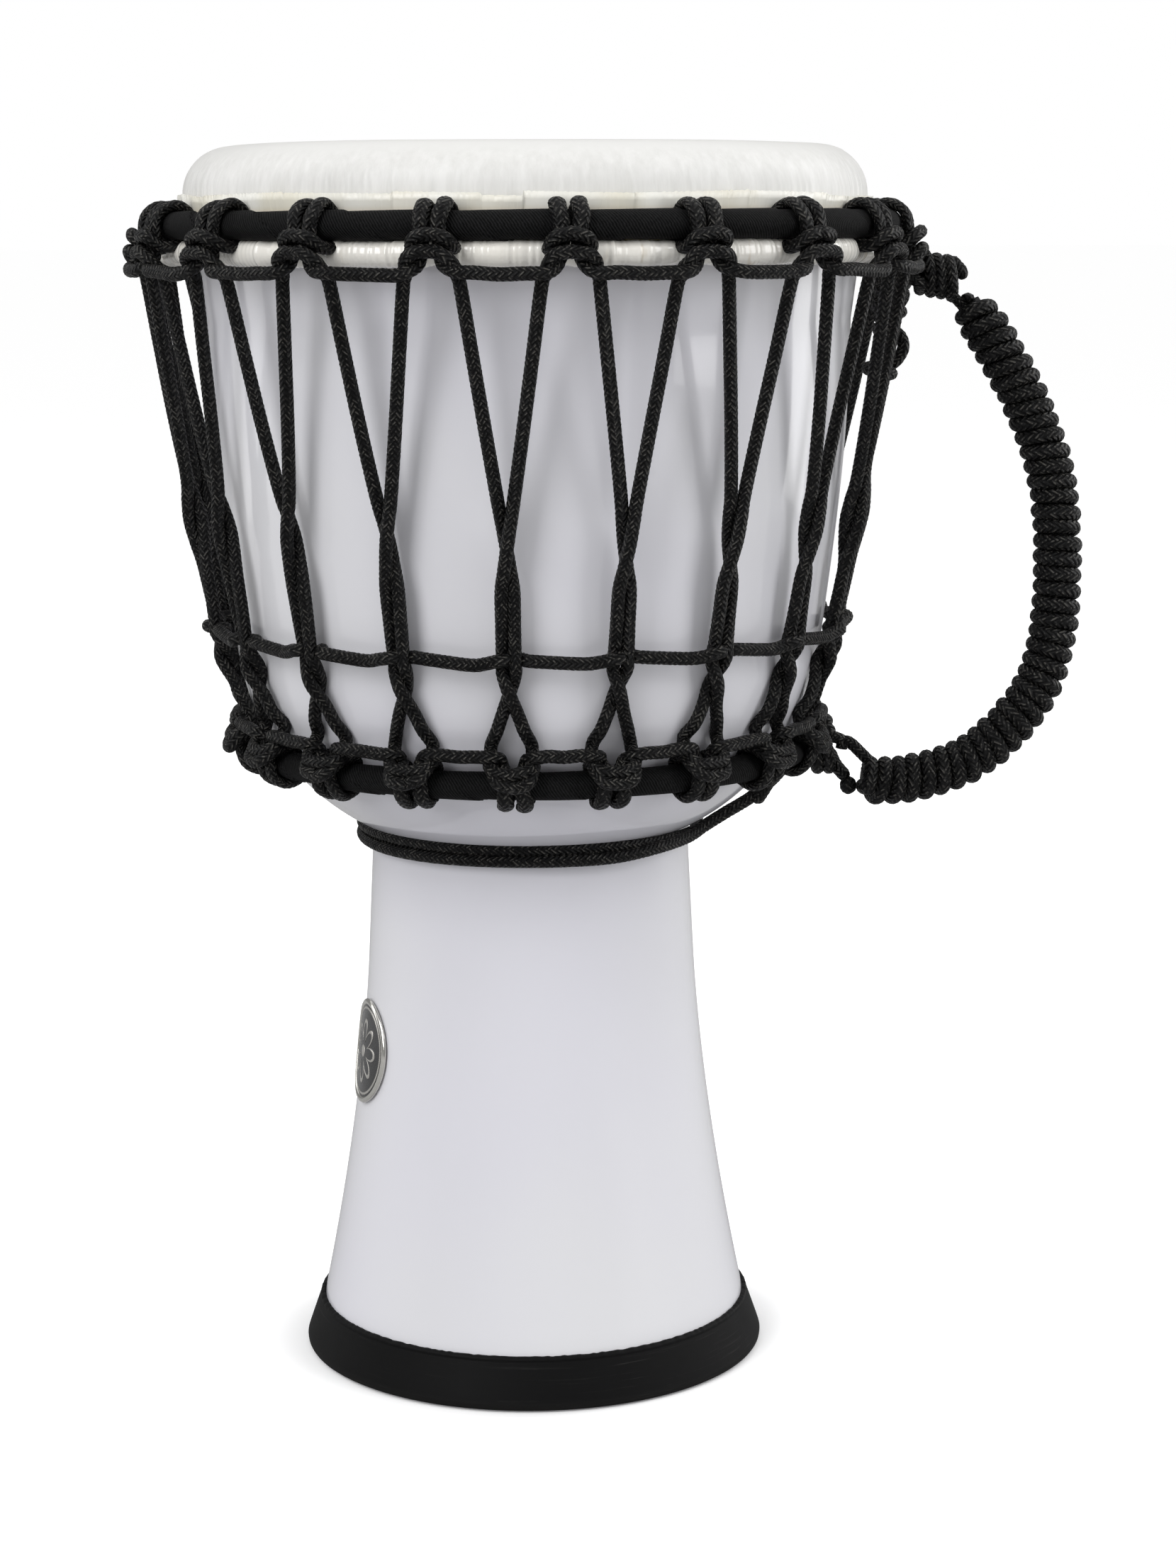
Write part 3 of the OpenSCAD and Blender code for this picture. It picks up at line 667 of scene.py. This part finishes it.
def drumhead_hem():
    """The film rolled round the hoop: a tube about the axis whose radius carries fine pleats and a
    small step at each lap; it is squeezed a little at every hitch."""
    edges, bulge = laps(26, 0, 0.34)
    fine = periodic(22, 180, 520)
    broad = periodic(12, 40, 150)
    count, sides = 1800, 22
    angle = np.arange(count) / count * TAU
    k, f = stretch_of(angle, edges)
    hitch = np.degrees(angle) / PITCH % 1 - 0.5
    pinch = np.exp(-(hitch / 0.16) ** 2)
    size = 2.95 + bulge[k] + 0.22 * f + 0.05 * fine(angle) + 0.06 * broad(angle) - 0.4 * pinch
    u = np.arange(sides)[:, None] / sides * TAU
    ripple = 1 + 0.012 * np.sin(3 * u + 40 * angle[None, :])
    r = HOOP_R + size * ripple * np.cos(u)
    z = HOOP_Z + size * ripple * np.sin(u)
    points = np.stack([r * np.cos(angle), r * np.sin(angle), z], -1)
    return piece("drumhead_hem", [grid(points, wrap_rows=True)], HEM)


def trimmed_strip():
    """The trimmed edge of the film, standing up behind the crown ring in lapped lengths: each length
    has its own height, slope and lean, and steps to the next."""
    edges, height = laps(23, 3.0, 5.0)
    lean = rng.uniform(0.0, 1.1, 23)
    slope = rng.uniform(-1.0, 1.0, 23)
    nibble = periodic(20, 150, 600)
    wave = periodic(6, 30, 90)
    count = 1800
    angle = np.arange(count) / count * TAU
    k, f = stretch_of(angle, edges)
    top = CROWN_Z + TAPE_R + height[k] * 0.85 + slope[k] * (f - 0.5) + 0.07 * nibble(angle)
    out = 0.25 + lean[k] * f + 0.12 * wave(angle)
    rows = []
    for thick in (0.32, 0.0):
        for up in (0.0, 0.45, 0.8, 1.0):
            z = CROWN_Z - 1.5 + (top - CROWN_Z + 1.5) * up
            r = COLLAR_R + 0.28 + thick + (out + 0.35) * up**1.6
            rows.append(np.stack([r * np.cos(angle), r * np.sin(angle), z], -1))
    rows = rows[:4] + rows[4:][::-1]
    return piece("trimmed_strip", [grid(np.array(rows), wrap_rows=True)], STRIP)


# ---- taped rings ----
def taped_ring(name, ring_r, ring_z, laps_round, replaces):
    """Tape wound along a ring: a tube about the axis whose skin rises along each turn of the tape and
    drops at its edge, the edge running round the ring as a helix. u counts ribs across and v along."""
    count, sides = 1400, 28
    angle = np.arange(count) / count * TAU
    u = np.arange(sides)[:, None] / sides
    wobble = periodic(8, 5, 60)(angle)
    helix = (angle * laps_round / TAU + u + 0.02 * wobble) % 1
    fray = periodic(18, 200, 600)(angle)
    size = TAPE_R - 0.25 + 0.42 * helix**0.8 + 0.02 * fray * np.exp(-((u - 0.7) / 0.08) ** 2)
    r = ring_r + size * np.cos(TAU * u)
    z = ring_z + size * np.sin(TAU * u)
    points = np.stack([r * np.cos(angle), r * np.sin(angle), z], -1)
    ribs_round = round(TAU * TAPE_R / 0.62)
    ribs_along = round(TAU * ring_r / 0.75)
    uv = np.stack(np.meshgrid(np.arange(count + 1) / count * ribs_along,
                              np.arange(sides + 1) / sides * ribs_round), -1)
    return piece(name, [grid(points, wrap_rows=True, uv=uv)], TAPE, replaces=replaces)


# ---- the cradle ropes: a cow hitch on the ring, then a run to the next ----
def jitter(points, size):
    """The same places, each moved a little by chance."""
    return points + rng.normal(0, 1, points.shape) * size


def cow_hitch(angle, ring_r, ring_z, run, way, bar_turn, spread, lift):
    """Route of one cow hitch as (x, y, z, widening), from the middle of one run to that of the next.

    The rope comes in from the run, goes up under the bar, over the ring (way = 1) or under it (-1),
    down behind, back to the front wider apart, and across both of its own strands as the bar."""
    run_r, run_z, reach = run
    hug = TAPE_R + ROPE_R - 0.1
    half_pitch = math.pi * run_r / HITCHES

    def on_ring(t, turn_deg, out, wide=1.0):
        b = math.radians(turn_deg)
        return (t, ring_r + out * math.cos(b), ring_z + way * out * math.sin(b), wide)
    into = [(half_pitch, run_r, run_z - 0.15, 1.0), (reach + 2.6, run_r + 0.1, run_z, 1.0),
            (reach - 0.9, run_r, run_z + way * 0.15, 1.0),
            (reach * 0.55, run_r - 1.0, run_z + way * lift * 0.35, 1.0),
            (spread + 0.5, run_r - 2.4, run_z + way * lift, 1.0),
            (spread - 0.25, ring_r + hug - 0.1, (run_z + way * lift + ring_z) / 2 - way * 0.3, 1.1)]
    over = [on_ring(spread, 0, hug, 1.18), on_ring(spread + 0.1, 35, hug, 1.25),
            on_ring(spread + 0.1, 70, hug, 1.25), on_ring(spread, 100, hug, 1.2),
            on_ring(spread + 0.1, 135, hug - 0.3, 1.3), on_ring(spread + 0.3, 172, hug - 0.9, 1.5),
            on_ring(spread + 0.9, 208, hug - 0.9, 1.4), on_ring(spread + 1.6, 245, hug - 0.4, 1.2),
            on_ring(spread + 2.3, bar_turn - 58, hug + 0.5, 1.1),
            on_ring(spread + 2.5, bar_turn - 28, hug + 1.9),
            on_ring(spread + 1.4, bar_turn - 6, hug + 3.0), on_ring(0.8, bar_turn, hug + 3.3)]
    half = np.array(into + over)
    slip = np.array([0.22, 0.12, 0.12, 0])
    near = np.concatenate([[0], np.ones(len(half) - 1)])[:, None]
    left = jitter(half * [-1, 1, 1, 1], slip * near)
    right = jitter(half, slip * near)[::-1]
    lean = rng.normal(0, 0.03)
    shift = rng.normal(0, 0.35)
    # the halves join in the bar, so the right one is laid backwards, out to its own run
    route = np.concatenate([left, right])
    inside = np.clip(1.4 - np.abs(route[:, 0]) / half_pitch * 1.4, 0, 1)
    route[:, 2] += lean * route[:, 0] * inside
    route[:, 0] += shift * inside
    xyz = beside(angle, route[:, 0], route[:, 1], route[:, 2])
    return np.concatenate([xyz, route[:, 3:]], 1)


def cradle(first, *hitch):
    """The whole cradle rope of a ring: one hitch after another, each starting where the last ended."""
    hitches = [cow_hitch(first + k * PITCH, *hitch) for k in range(HITCHES)]
    return np.concatenate([h[:-1] for h in hitches] + [hitches[-1][-1:]])


# ---- the tension rope ----
SIDE_GAP = ROPE_R + 0.05
TOP_HALF = math.pi * CROWN_STRAND_R / HITCHES - CROWN_SPREAD


def net(z):
    """Distance of the net from the axis: it opens evenly from the lower run to the weave, and from
    there to the crown run."""
    high = NET_R + (CROWN_STRAND_R - NET_R) * (z - WEAVE_Z) / (CROWN_RUN_Z - WEAVE_Z)
    low = LOW_STRAND_R + (NET_R - LOW_STRAND_R) * (z - LOW_RUN_Z) / (WEAVE_Z - LOW_RUN_Z)
    return np.where(z > WEAVE_Z, high, low)


def sway(z):
    """Sideways place of the strand that comes from the left: straight to the first crossing, beside its
    partner down to the weave, then over to the other side."""
    top = np.minimum(SIDE_GAP, -TOP_HALF * (z - CROSS_Z) / (CROWN_RUN_Z - CROSS_Z))
    low = -LOW_SPREAD + (LOW_SPREAD + SIDE_GAP) * np.clip((z - LOW_RUN_Z - 2) / 18.5, 0, 1)
    return np.where(z > CROSS_Z - 12, top, np.where(z > WEAVE_Z - 3, SIDE_GAP, low))


def depth(z):
    """How far that strand lies before the net's own surface: behind it where it crosses its partner,
    and before it at the weave."""
    return (-SIDE_GAP * np.exp(-((z - CROSS_Z) / 9) ** 2)
            - SIDE_GAP * np.exp(-((z - LOW_CROSS_Z) / 4) ** 2)
            + 0.8 * np.exp(-((z - WEAVE_Z) / 3.4) ** 2))


# Heights of the places that a strand is drawn through
STRAND_Z = np.array([283.9, 268.0, 251.0, 234.6, 229.0, 223.6, 218.0, 212.6, 204.5, 198.2, 195.2, 192.8,
                     189.8, 187.8, 185.6, 182.0, 177.8])


def strand(angle, side, slack):
    """One strand of a pair from the crown down to the lower run, with a little slack of its own."""
    t = side * sway(STRAND_Z)
    sag = np.sin(math.pi * (STRAND_Z - STRAND_Z[-1]) / (STRAND_Z[0] - STRAND_Z[-1]))
    r = net(STRAND_Z) + side * depth(STRAND_Z)
    return beside(angle, t + slack[0] * sag, r + slack[1] * sag, STRAND_Z)


def crown_arch(angle, side):
    """Half of the arch over a crown hitch: from its middle out, down, and in behind the run's end."""
    t, r, z = np.array([(0, 101.5, 291.7), (2.2, 101.5, 291.6), (4.1, 101.3, 290.9),
                        (5.4, 100.3, 289.5), (5.9, 98.6, 287.8), (6.1, 97.6, 286.2)]).T
    return beside(angle, side * t, r, z)


def low_arch(angle, side):
    """Half of the arch under a lower hitch: from behind the run's end out to the middle."""
    t, r, z = np.array([(4.8, 74.0, 174.4), (5.1, 74.6, 171.9), (5.2, 76.6, 169.6), (3.9, 78.2, 168.3),
                        (1.9, 78.8, 167.9), (0, 78.9, 167.85)]).T
    return beside(angle, side * t, r, z)


def tension_rope():
    """The whole zigzag as one route, from the crown hitch beside the handle round to the same hitch:
    arch, strand down, arch under a lower hitch, strand up, arch, and so on."""
    route = []
    for k in range(1, HITCHES + 1):
        a = k * PITCH
        slack = rng.normal(0, 1, (2, 2)) * [0.22, 0.12]
        down = strand(a, 1, slack[0])
        up = strand(a, -1, slack[1])[::-1]
        route += [jitter(crown_arch(a - PITCH / 2, 1), 0.12)[1 if k > 1 else 0:], down,
                  jitter(low_arch(a, -1), 0.1), jitter(low_arch(a, 1), 0.1)[::-1][1:], up,
                  jitter(crown_arch(a + PITCH / 2, -1), 0.12)[::-1]]
    return np.concatenate(route)


def halves(route):
    """The same rope in two lengths that meet end to end, so that neither mesh is too large."""
    middle = len(route) // 2
    first, second = route[:middle + 1], route[middle:]
    return rope(first), rope(second, start=rope_length(first))


def weave_row():
    """The woven row: before the left strand of each pair and behind the right one, round the drum."""
    route = []
    for k in range(HITCHES):
        t, out, up = jitter(np.array([(-9.6, 0.1, -0.5), (-5.6, 0.9, 0.0), (-3.4, 1.9, 0.5),
                                      (-1.4, 2.3, 0.9), (0.2, 0.4, 0.9), (1.8, -1.7, 0.6),
                                      (3.6, -1.2, 0.9), (5.4, 0.2, 0.7)]), 0.12).T
        route.append(beside(k * PITCH, t, NET_R + out, WEAVE_Z + up))
    return np.concatenate(route + [route[0][:1]])


# ---- waist rope ----
def waist_rope():
    """From the lower ring down a slack tail, then twice round the waist, ending tucked behind; and the
    cut end that hangs beside the tail."""
    tail = [around(*p) for p in [(-5, 67.5, 157.0), (-8, 64.0, 153.6), (-12, 58.8, 149.6),
                                 (-17, 52.9, 146.2), (-22.5, 48.6, 143.4)]]
    turned_by = np.arange(43) * 16.5
    r = 44.4 + 2.0 * (1 - ramp(turned_by, 0, 90))
    lift = 3.0 * ramp(turned_by, 300, 420) + 1.7 * (1 - ramp(turned_by, 0, 40))
    wander = 0.2 * np.sin(np.radians(turned_by) * 2.3) * ramp(turned_by, 20, 80)
    turns = around(-30 - turned_by, r, WAIST_Z - 1.3 + lift + wander)
    end = [around(*p) for p in [(-11, 64.0, 155.0), (-11.5, 61.8, 151.4), (-12.2, 59.8, 148.2)]]
    return np.concatenate([tail, turns]), np.array(end)


# ---- tie-off beside the handle ----
def tie_off():
    """The ends of the tension rope, each brought down beside a strand and wound round it in half
    hitches; one end stands out with a rounded tip, and the other bulges as a loop before its turns."""
    def about(z, turn_deg, out):
        b = math.radians(turn_deg)
        return beside(0, out * math.sin(b) - sway(z), net(z) - depth(z) + out * math.cos(b), z)
    top = [beside(PITCH / 2, -4.0, 99.0, 287.5), beside(PITCH / 2, -5.0, 98.6, 284.8)]
    upper = [about(282.4 - k * 0.32, -60 + 45 * k, 3.2) for k in range(10)]
    lower = [about(277.5 - k * 0.36, 20 + 45 * k, 3.25) for k in range(10)]
    tip = [about(273.2, 470, 4.0), about(272.8, 440, 5.2)]
    first = np.array(top + upper + lower + tip)
    loop = [about(270.5, 150, 3.0), about(270.2, 60, 3.0), about(268.6, 12, 4.3), about(265.6, 4, 5.4),
            about(262.6, 8, 4.4)]
    wound = [about(261.4 - 0.34 * k, 20 + 45 * k, 3.2) for k in range(9)]
    second = np.array(loop + wound + [about(257.6, 430, 3.3), about(254.5, 425, 3.2)])
    return first, second


# ---- handle ----
def handle_line():
    """The handle's middle line, from its top end to its bottom end."""
    p = np.array(HANDLE_LINE)
    return smooth(TOP_PIVOT + np.stack([p[:, 0], 0 * p[:, 0], p[:, 1]], 1), 0.5)


def handle_wrap():
    """The rope wound on the handle: a helix about the middle line that starts narrow and at a slant,
    with both of its ends tucked in. Each turn is pressed a little out of round by chance."""
    line = handle_line()
    turns, out_of_line = 40, 4.42
    count = turns * 20
    f = np.linspace(0, 1, count)
    s = f * (len(line) - 1)
    middle = np.stack([np.interp(s, np.arange(len(line)), line[:, k]) for k in range(3)], 1)
    t = unit(np.gradient(middle, axis=0))
    side = np.array([0.0, 1.0, 0.0])
    across = np.cross(t, side)
    q = TAU * turns * f
    drift = np.convolve(rng.normal(0, 1, count + 24), np.ones(25) / 5, "valid")
    out = out_of_line + 0.10 * drift
    slant = 0.55 * np.sin(q + 0.7 * np.sin(f * 9)) * (1 + 1.8 * np.exp(-f * 26))
    taper = -1.3 * np.exp(-(f * turns) ** 2 / 1.4)
    round_it = np.cos(q)[:, None] * across + np.sin(q)[:, None] * side
    points = middle + (out + taper)[:, None] * round_it
    points += t * (slant + 0.12 * drift)[:, None]
    head = [line[0] + [-0.6, -0.6, 0.2], line[0] + [-0.2, 0.6, 0.6]]
    foot = [line[-1] + [0.8, 1.6, -2.0], line[-1] + [0.6, 0.6, -0.6]]
    return np.concatenate([head, points[6:-4], foot])


def knots():
    """The cords that tie the handle on. At the top a loop round the run and a barrel of three turns
    with its cut end; at the bottom a barrel beside the ring, the link from it to the handle's cord, and
    a stopper on its end."""
    k = np.arange(27)
    q = np.radians(k * 45 + 200)
    # barrel: a helix about a line that points away from the drum and a little down
    barrel = np.stack([101.6 + k * 0.345, 4.25 * np.cos(q), 285.0 - k * 0.05 + 4.35 * np.sin(q)], 1)
    loop = np.array([(103.8, 0.6, 289.2), (101.0, 0.9, 290.7), (97.9, 0.8, 288.6), (97.8, 0.3, 284.9),
                     (100.8, 0.0, 283.3), (103.6, -0.4, 284.4), (104.2, -0.6, 287.6),
                     (101.4, -3.4, 290.6), (97.6, -4.0, 287.4), (100.5, -4.2, 283.2),
                     (102.0, -3.9, 282.4)])
    stub = np.array([(110.4, 2.2, 287.6), (112.0, 0.8, 286.6), (112.8, -0.8, 285.2),
                     (112.6, -1.8, 283.4)])
    top = np.concatenate([loop, barrel[2:], stub])
    b = np.arange(14)
    w = np.radians(b * 50 + 60)
    fat = np.stack([74.8 + b * 0.42, 3.6 * np.cos(w) + 0.6, 159.0 + 3.8 * np.sin(w)], 1)
    tail = np.array([(81.0, 2.4, 156.6), (82.0, 1.0, 155.0), (83.4, 0.4, 153.4), (84.4, 0.2, 151.9)])
    bottom = np.concatenate([[(73.0, 5.4, 162.5), (74.2, 5.2, 160.8)], fat, tail])
    link = np.array([(76.0, -1.8, 161.2), (78.6, -1.4, 163.0), (80.8, -0.6, 163.5), (82.9, 0.0, 162.6)])
    stopper = np.array([(84.5, 0.1, 152.8), (84.7, 0.0, 150.5), (84.7, 0.0, 148.0)])
    return top, bottom, link, stopper


def necks():
    """The two thin cords between the knots and the ends of the winding."""
    top = TOP_PIVOT + np.array([(0.5, 0, 2.6), (0.3, 0, 1.0), (1.6, 0, -0.2), (3.6, 0, -1.6),
                                (5.3, 0, -3.3), (7.4, 0, -5.6), (10.4, 0, -9.2)])
    low = LOW_PIVOT + np.array([(0.5, 0, 1.4), (0.9, 0, 3.2), (2.3, 0.2, 3.2), (3.8, 0.2, 2.1),
                                (5.3, 0.1, 0.6), (6.8, 0, -0.9), (8.6, 0, -2.8), (10.4, 0, -4.6)])
    return top, low


# ---- badge ----
def badge_point(u, v, out):
    """A point of the badge: u across and v up in millimetres, standing out from the pipe's side."""
    z = BADGE_Z + v
    r = pipe_r(z) + out
    return around(BADGE_TURN + np.degrees(u / r), r, z)


def badge_frame():
    """The rim: a rounded profile carried round an oval."""
    q = np.arange(120)[None, :] / 120 * TAU
    profile = np.array([(-1.5, 0.55), (-1.5, 0.95), (-1.3, 1.25), (-0.95, 1.42), (-0.55, 1.4),
                        (-0.2, 1.2), (0, 0.9), (0, 0.55)])
    inset, out = profile[:, :1], profile[:, 1:]
    u = (BADGE_W / 2 + inset) * np.cos(q)
    v = (BADGE_H / 2 + inset) * np.sin(q)
    return piece("badge_rim", [grid(badge_point(u, v, out + 0 * q), wrap_rows=True)], CHROME,
                 replaces=["badge_frame"])


def badge_plate():
    """The enamelled oval: a thin raised line inside the rim and a plain eight-pointed rosette, raised
    and left bright. The first uv number says how bright each place is."""
    rings, spokes = 84, 240
    f = np.linspace(0.004, 1, rings)[:, None]
    q = np.arange(spokes)[None, :] / spokes * TAU
    petal = 0.26 + 0.40 * np.abs(np.cos(4 * q)) ** 0.8
    mark = ramp(0.045 - np.abs(f - petal), -0.02, 0.02) + ramp(0.13 - f, -0.02, 0.02)
    line = ramp(0.024 - np.abs(f - 0.93), -0.012, 0.012)
    bright = np.clip(mark + line, 0, 1)
    out = 0.95 + 0.5 * (1 - f**2) + 0.1 * bright
    u = (BADGE_W / 2 - 1.5) * f * np.cos(q)
    v = (BADGE_H / 2 - 1.5) * f * np.sin(q)
    top = badge_point(u, v, out)
    back = badge_point(u[::-6], v[::-6], 0.55 + 0 * u[::-6])
    points = np.concatenate([top, back])
    shade = np.concatenate([bright, 0 * u[::-6]])
    shade = np.pad(shade, ((0, 1), (0, 1)), "wrap")
    uv = np.stack([shade, 0 * shade], -1)
    return piece("badge_face", [grid(points, caps=("start", "end"), uv=uv)], ENAMEL,
                 replaces=["badge_plate"])


# ---- putting the drum together ----
def roped(name, ropes, replaces, body="drum"):
    """A piece of the rope work."""
    return piece(name, ropes, ROPE, body=body, replaces=replaces)


shell_body()
foot_boot()
drumhead()
drumhead_hem()
trimmed_strip()
taped_ring("crown_ring_wrap", CROWN_R, CROWN_Z, 22, ["crown_ring_tape"])
taped_ring("lower_ring_wrap", LOW_R, LOW_Z, 17, ["lower_ring_tape"])

crown = cradle(PITCH / 2, CROWN_R, CROWN_Z, (CROWN_RUN_R, CROWN_RUN_Z, 8.0), 1, 345, 2.25, 2.6)
lower = cradle(0, LOW_R, LOW_Z, (LOW_RUN_R, LOW_RUN_Z, 6.4), -1, 352, 2.3, 2.0)
roped("crown_cradle", [rope(crown)], ["crown_cradle_rope", "crown_hitch_bars"])
roped("lower_cradle", [rope(lower)], ["lower_cradle_rope", "lower_hitch_bars"])

left_length, right_length = halves(tension_rope())
roped("tension_rope_near", [left_length], ["tension_rope"])
roped("tension_rope_far", [right_length], ["tension_rope"])
roped("weave", [rope(weave_row())], ["weave_row"])
waist_turns, waist_end = waist_rope()
roped("waist_cord", [rope(waist_turns, 1.62), rope(waist_end, 1.9, ("end",))], ["waist_rope"])

roped("tie_off_turns", [rope(end, tips=("end",)) for end in tie_off()], ["tie_off"])
top_tie, low_tie, low_link, low_stopper = knots()
roped("top_tie", [rope(top_tie, tips=("end",))], ["top_knot"])
roped("low_tie", [rope(low_tie, 1.75, ("end",)), rope(low_link, 1.55),
                  rope(low_stopper, 2.15, ("start", "end"))], ["bottom_knot"])

roped("handle_winding", [rope(handle_wrap(), 1.99, ("end",))], ["handle_wrap"], "handle")
top_cord, low_cord = necks()
roped("top_cord", [rope(top_cord, 1.35)], ["top_neck"], "handle")
roped("low_cord", [rope(low_cord, 1.55)], ["bottom_neck"], "handle")

badge_frame()
badge_plate()

for node, finish in {"flesh_hoop": STEEL, "crown_ring": STEEL, "lower_ring": STEEL, "handle_core": ROPE,
                     "badge_pad": ADHESIVE}.items():
    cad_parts[node].data.materials.clear()
    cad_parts[node].data.materials.append(finish)


# ---- studio ----
def area_light(name, place, aim, size, power):
    """A soft box that faces a point. Both are in millimetres, and its size is in metres."""
    data = bpy.data.lights.new(name, "AREA")
    data.shape, data.size, data.size_y = "RECTANGLE", size[0], size[1]
    data.energy = power
    lamp = bpy.data.objects.new(name, data)
    bpy.context.scene.collection.objects.link(lamp)
    lamp.location = Vector(place) * MM
    lamp.rotation_euler = (Vector(aim) - Vector(place)).to_track_quat("-Z", "Y").to_euler()


def seen_or_lit(tree, seen, lit):
    """A grey that is one value where the camera looks at it and another where it lights the drum."""
    path = tree.nodes.new("ShaderNodeLightPath")
    mix = tree.nodes.new("ShaderNodeMix")
    mix.inputs[2].default_value, mix.inputs[3].default_value = lit, seen
    tree.links.new(path.outputs["Is Camera Ray"], mix.inputs[0])
    return mix.outputs[0]


def floor():
    """A pale floor, far wider than the drum; it is darker to other rays, so it doesn't flood the ropes,
    and its glow fades to grey in a ring round the foot, a painted shadow under the drum."""
    mesh = bpy.data.meshes.new("floor")
    mesh.from_pydata([(-40, -40, 0), (40, -40, 0), (40, 40, 0), (-40, 40, 0)], [], [(0, 1, 2, 3)])
    made = bpy.data.objects.new("floor", mesh)
    bpy.context.scene.collection.objects.link(made)
    made.location.z = -0.0002
    pale = Finish("pale_floor", (0.93, 0.93, 0.93), 1.0, Specular_IOR_Level=0.0)
    pale.tree.links.new(seen_or_lit(pale.tree, 0.96, 0.42), pale.shader.inputs["Base Color"])
    pale.tree.links.new(seen_or_lit(pale.tree, 0.36, 0.0), pale.shader.inputs["Emission Strength"])
    x, y, _ = pale.parts(pale.place())
    # painted shadow: the glow turns grey within about 82 mm of the axis, round the foot
    clear = ((x * x + y * y) ** 0.5).ramp(0.057, 0.082)
    pale.feeds(Emission_Color=pale.mix(clear, (0.30, 0.30, 0.31), (1, 1, 1)))
    mesh.materials.append(pale.material)


def camera():
    """Level with the crown ring and pitched down, so the drum's foot is seen from a little above."""
    data = bpy.data.cameras.new("camera")
    data.lens, data.sensor_width = 72.51, 36
    data.clip_start, data.clip_end = 0.05, 40
    made = bpy.data.objects.new("camera", data)
    bpy.context.scene.collection.objects.link(made)
    pitch, heading, roll = math.radians(-10.063), math.radians(2.35), math.radians(-0.251)
    look = Vector((math.sin(heading) * math.cos(pitch), math.cos(heading) * math.cos(pitch),
                   math.sin(pitch)))
    turn = look.to_track_quat("-Z", "Y").to_matrix().to_4x4() @ Matrix.Rotation(roll, 4, "Z")
    made.matrix_world = Matrix.Translation(Vector((-18.5, -824.9, 298.0)) * MM) @ turn
    bpy.context.scene.camera = made


floor()
camera()
world = bpy.data.worlds.new("studio")
bpy.context.scene.world = world
world.use_nodes = True
sky = world.node_tree.nodes["Background"]
sky.inputs["Color"].default_value = (1, 1, 1, 1)
world.node_tree.links.new(seen_or_lit(world.node_tree, 1.0, 0.26), sky.inputs["Strength"])
area_light("left_box", (-900, -1100, 1000), (0, 0, 200), (0.7, 1.3), 13.5)
area_light("right_box", (1200, -700, 700), (0, 0, 180), (0.6, 1.3), 8)
area_light("left_edge", (-1100, 450, 350), (0, 0, 180), (0.5, 1.5), 3)
area_light("right_edge", (1100, 450, 350), (0, 0, 180), (0.5, 1.5), 7)
overhead = bpy.data.lights.new("overhead", "SUN")
overhead.energy, overhead.angle = 1.25, math.radians(120)
bpy.context.scene.collection.objects.link(bpy.data.objects.new("overhead", overhead))
bpy.context.scene.view_settings.view_transform = "Standard"

bpy.context.view_layer.update()
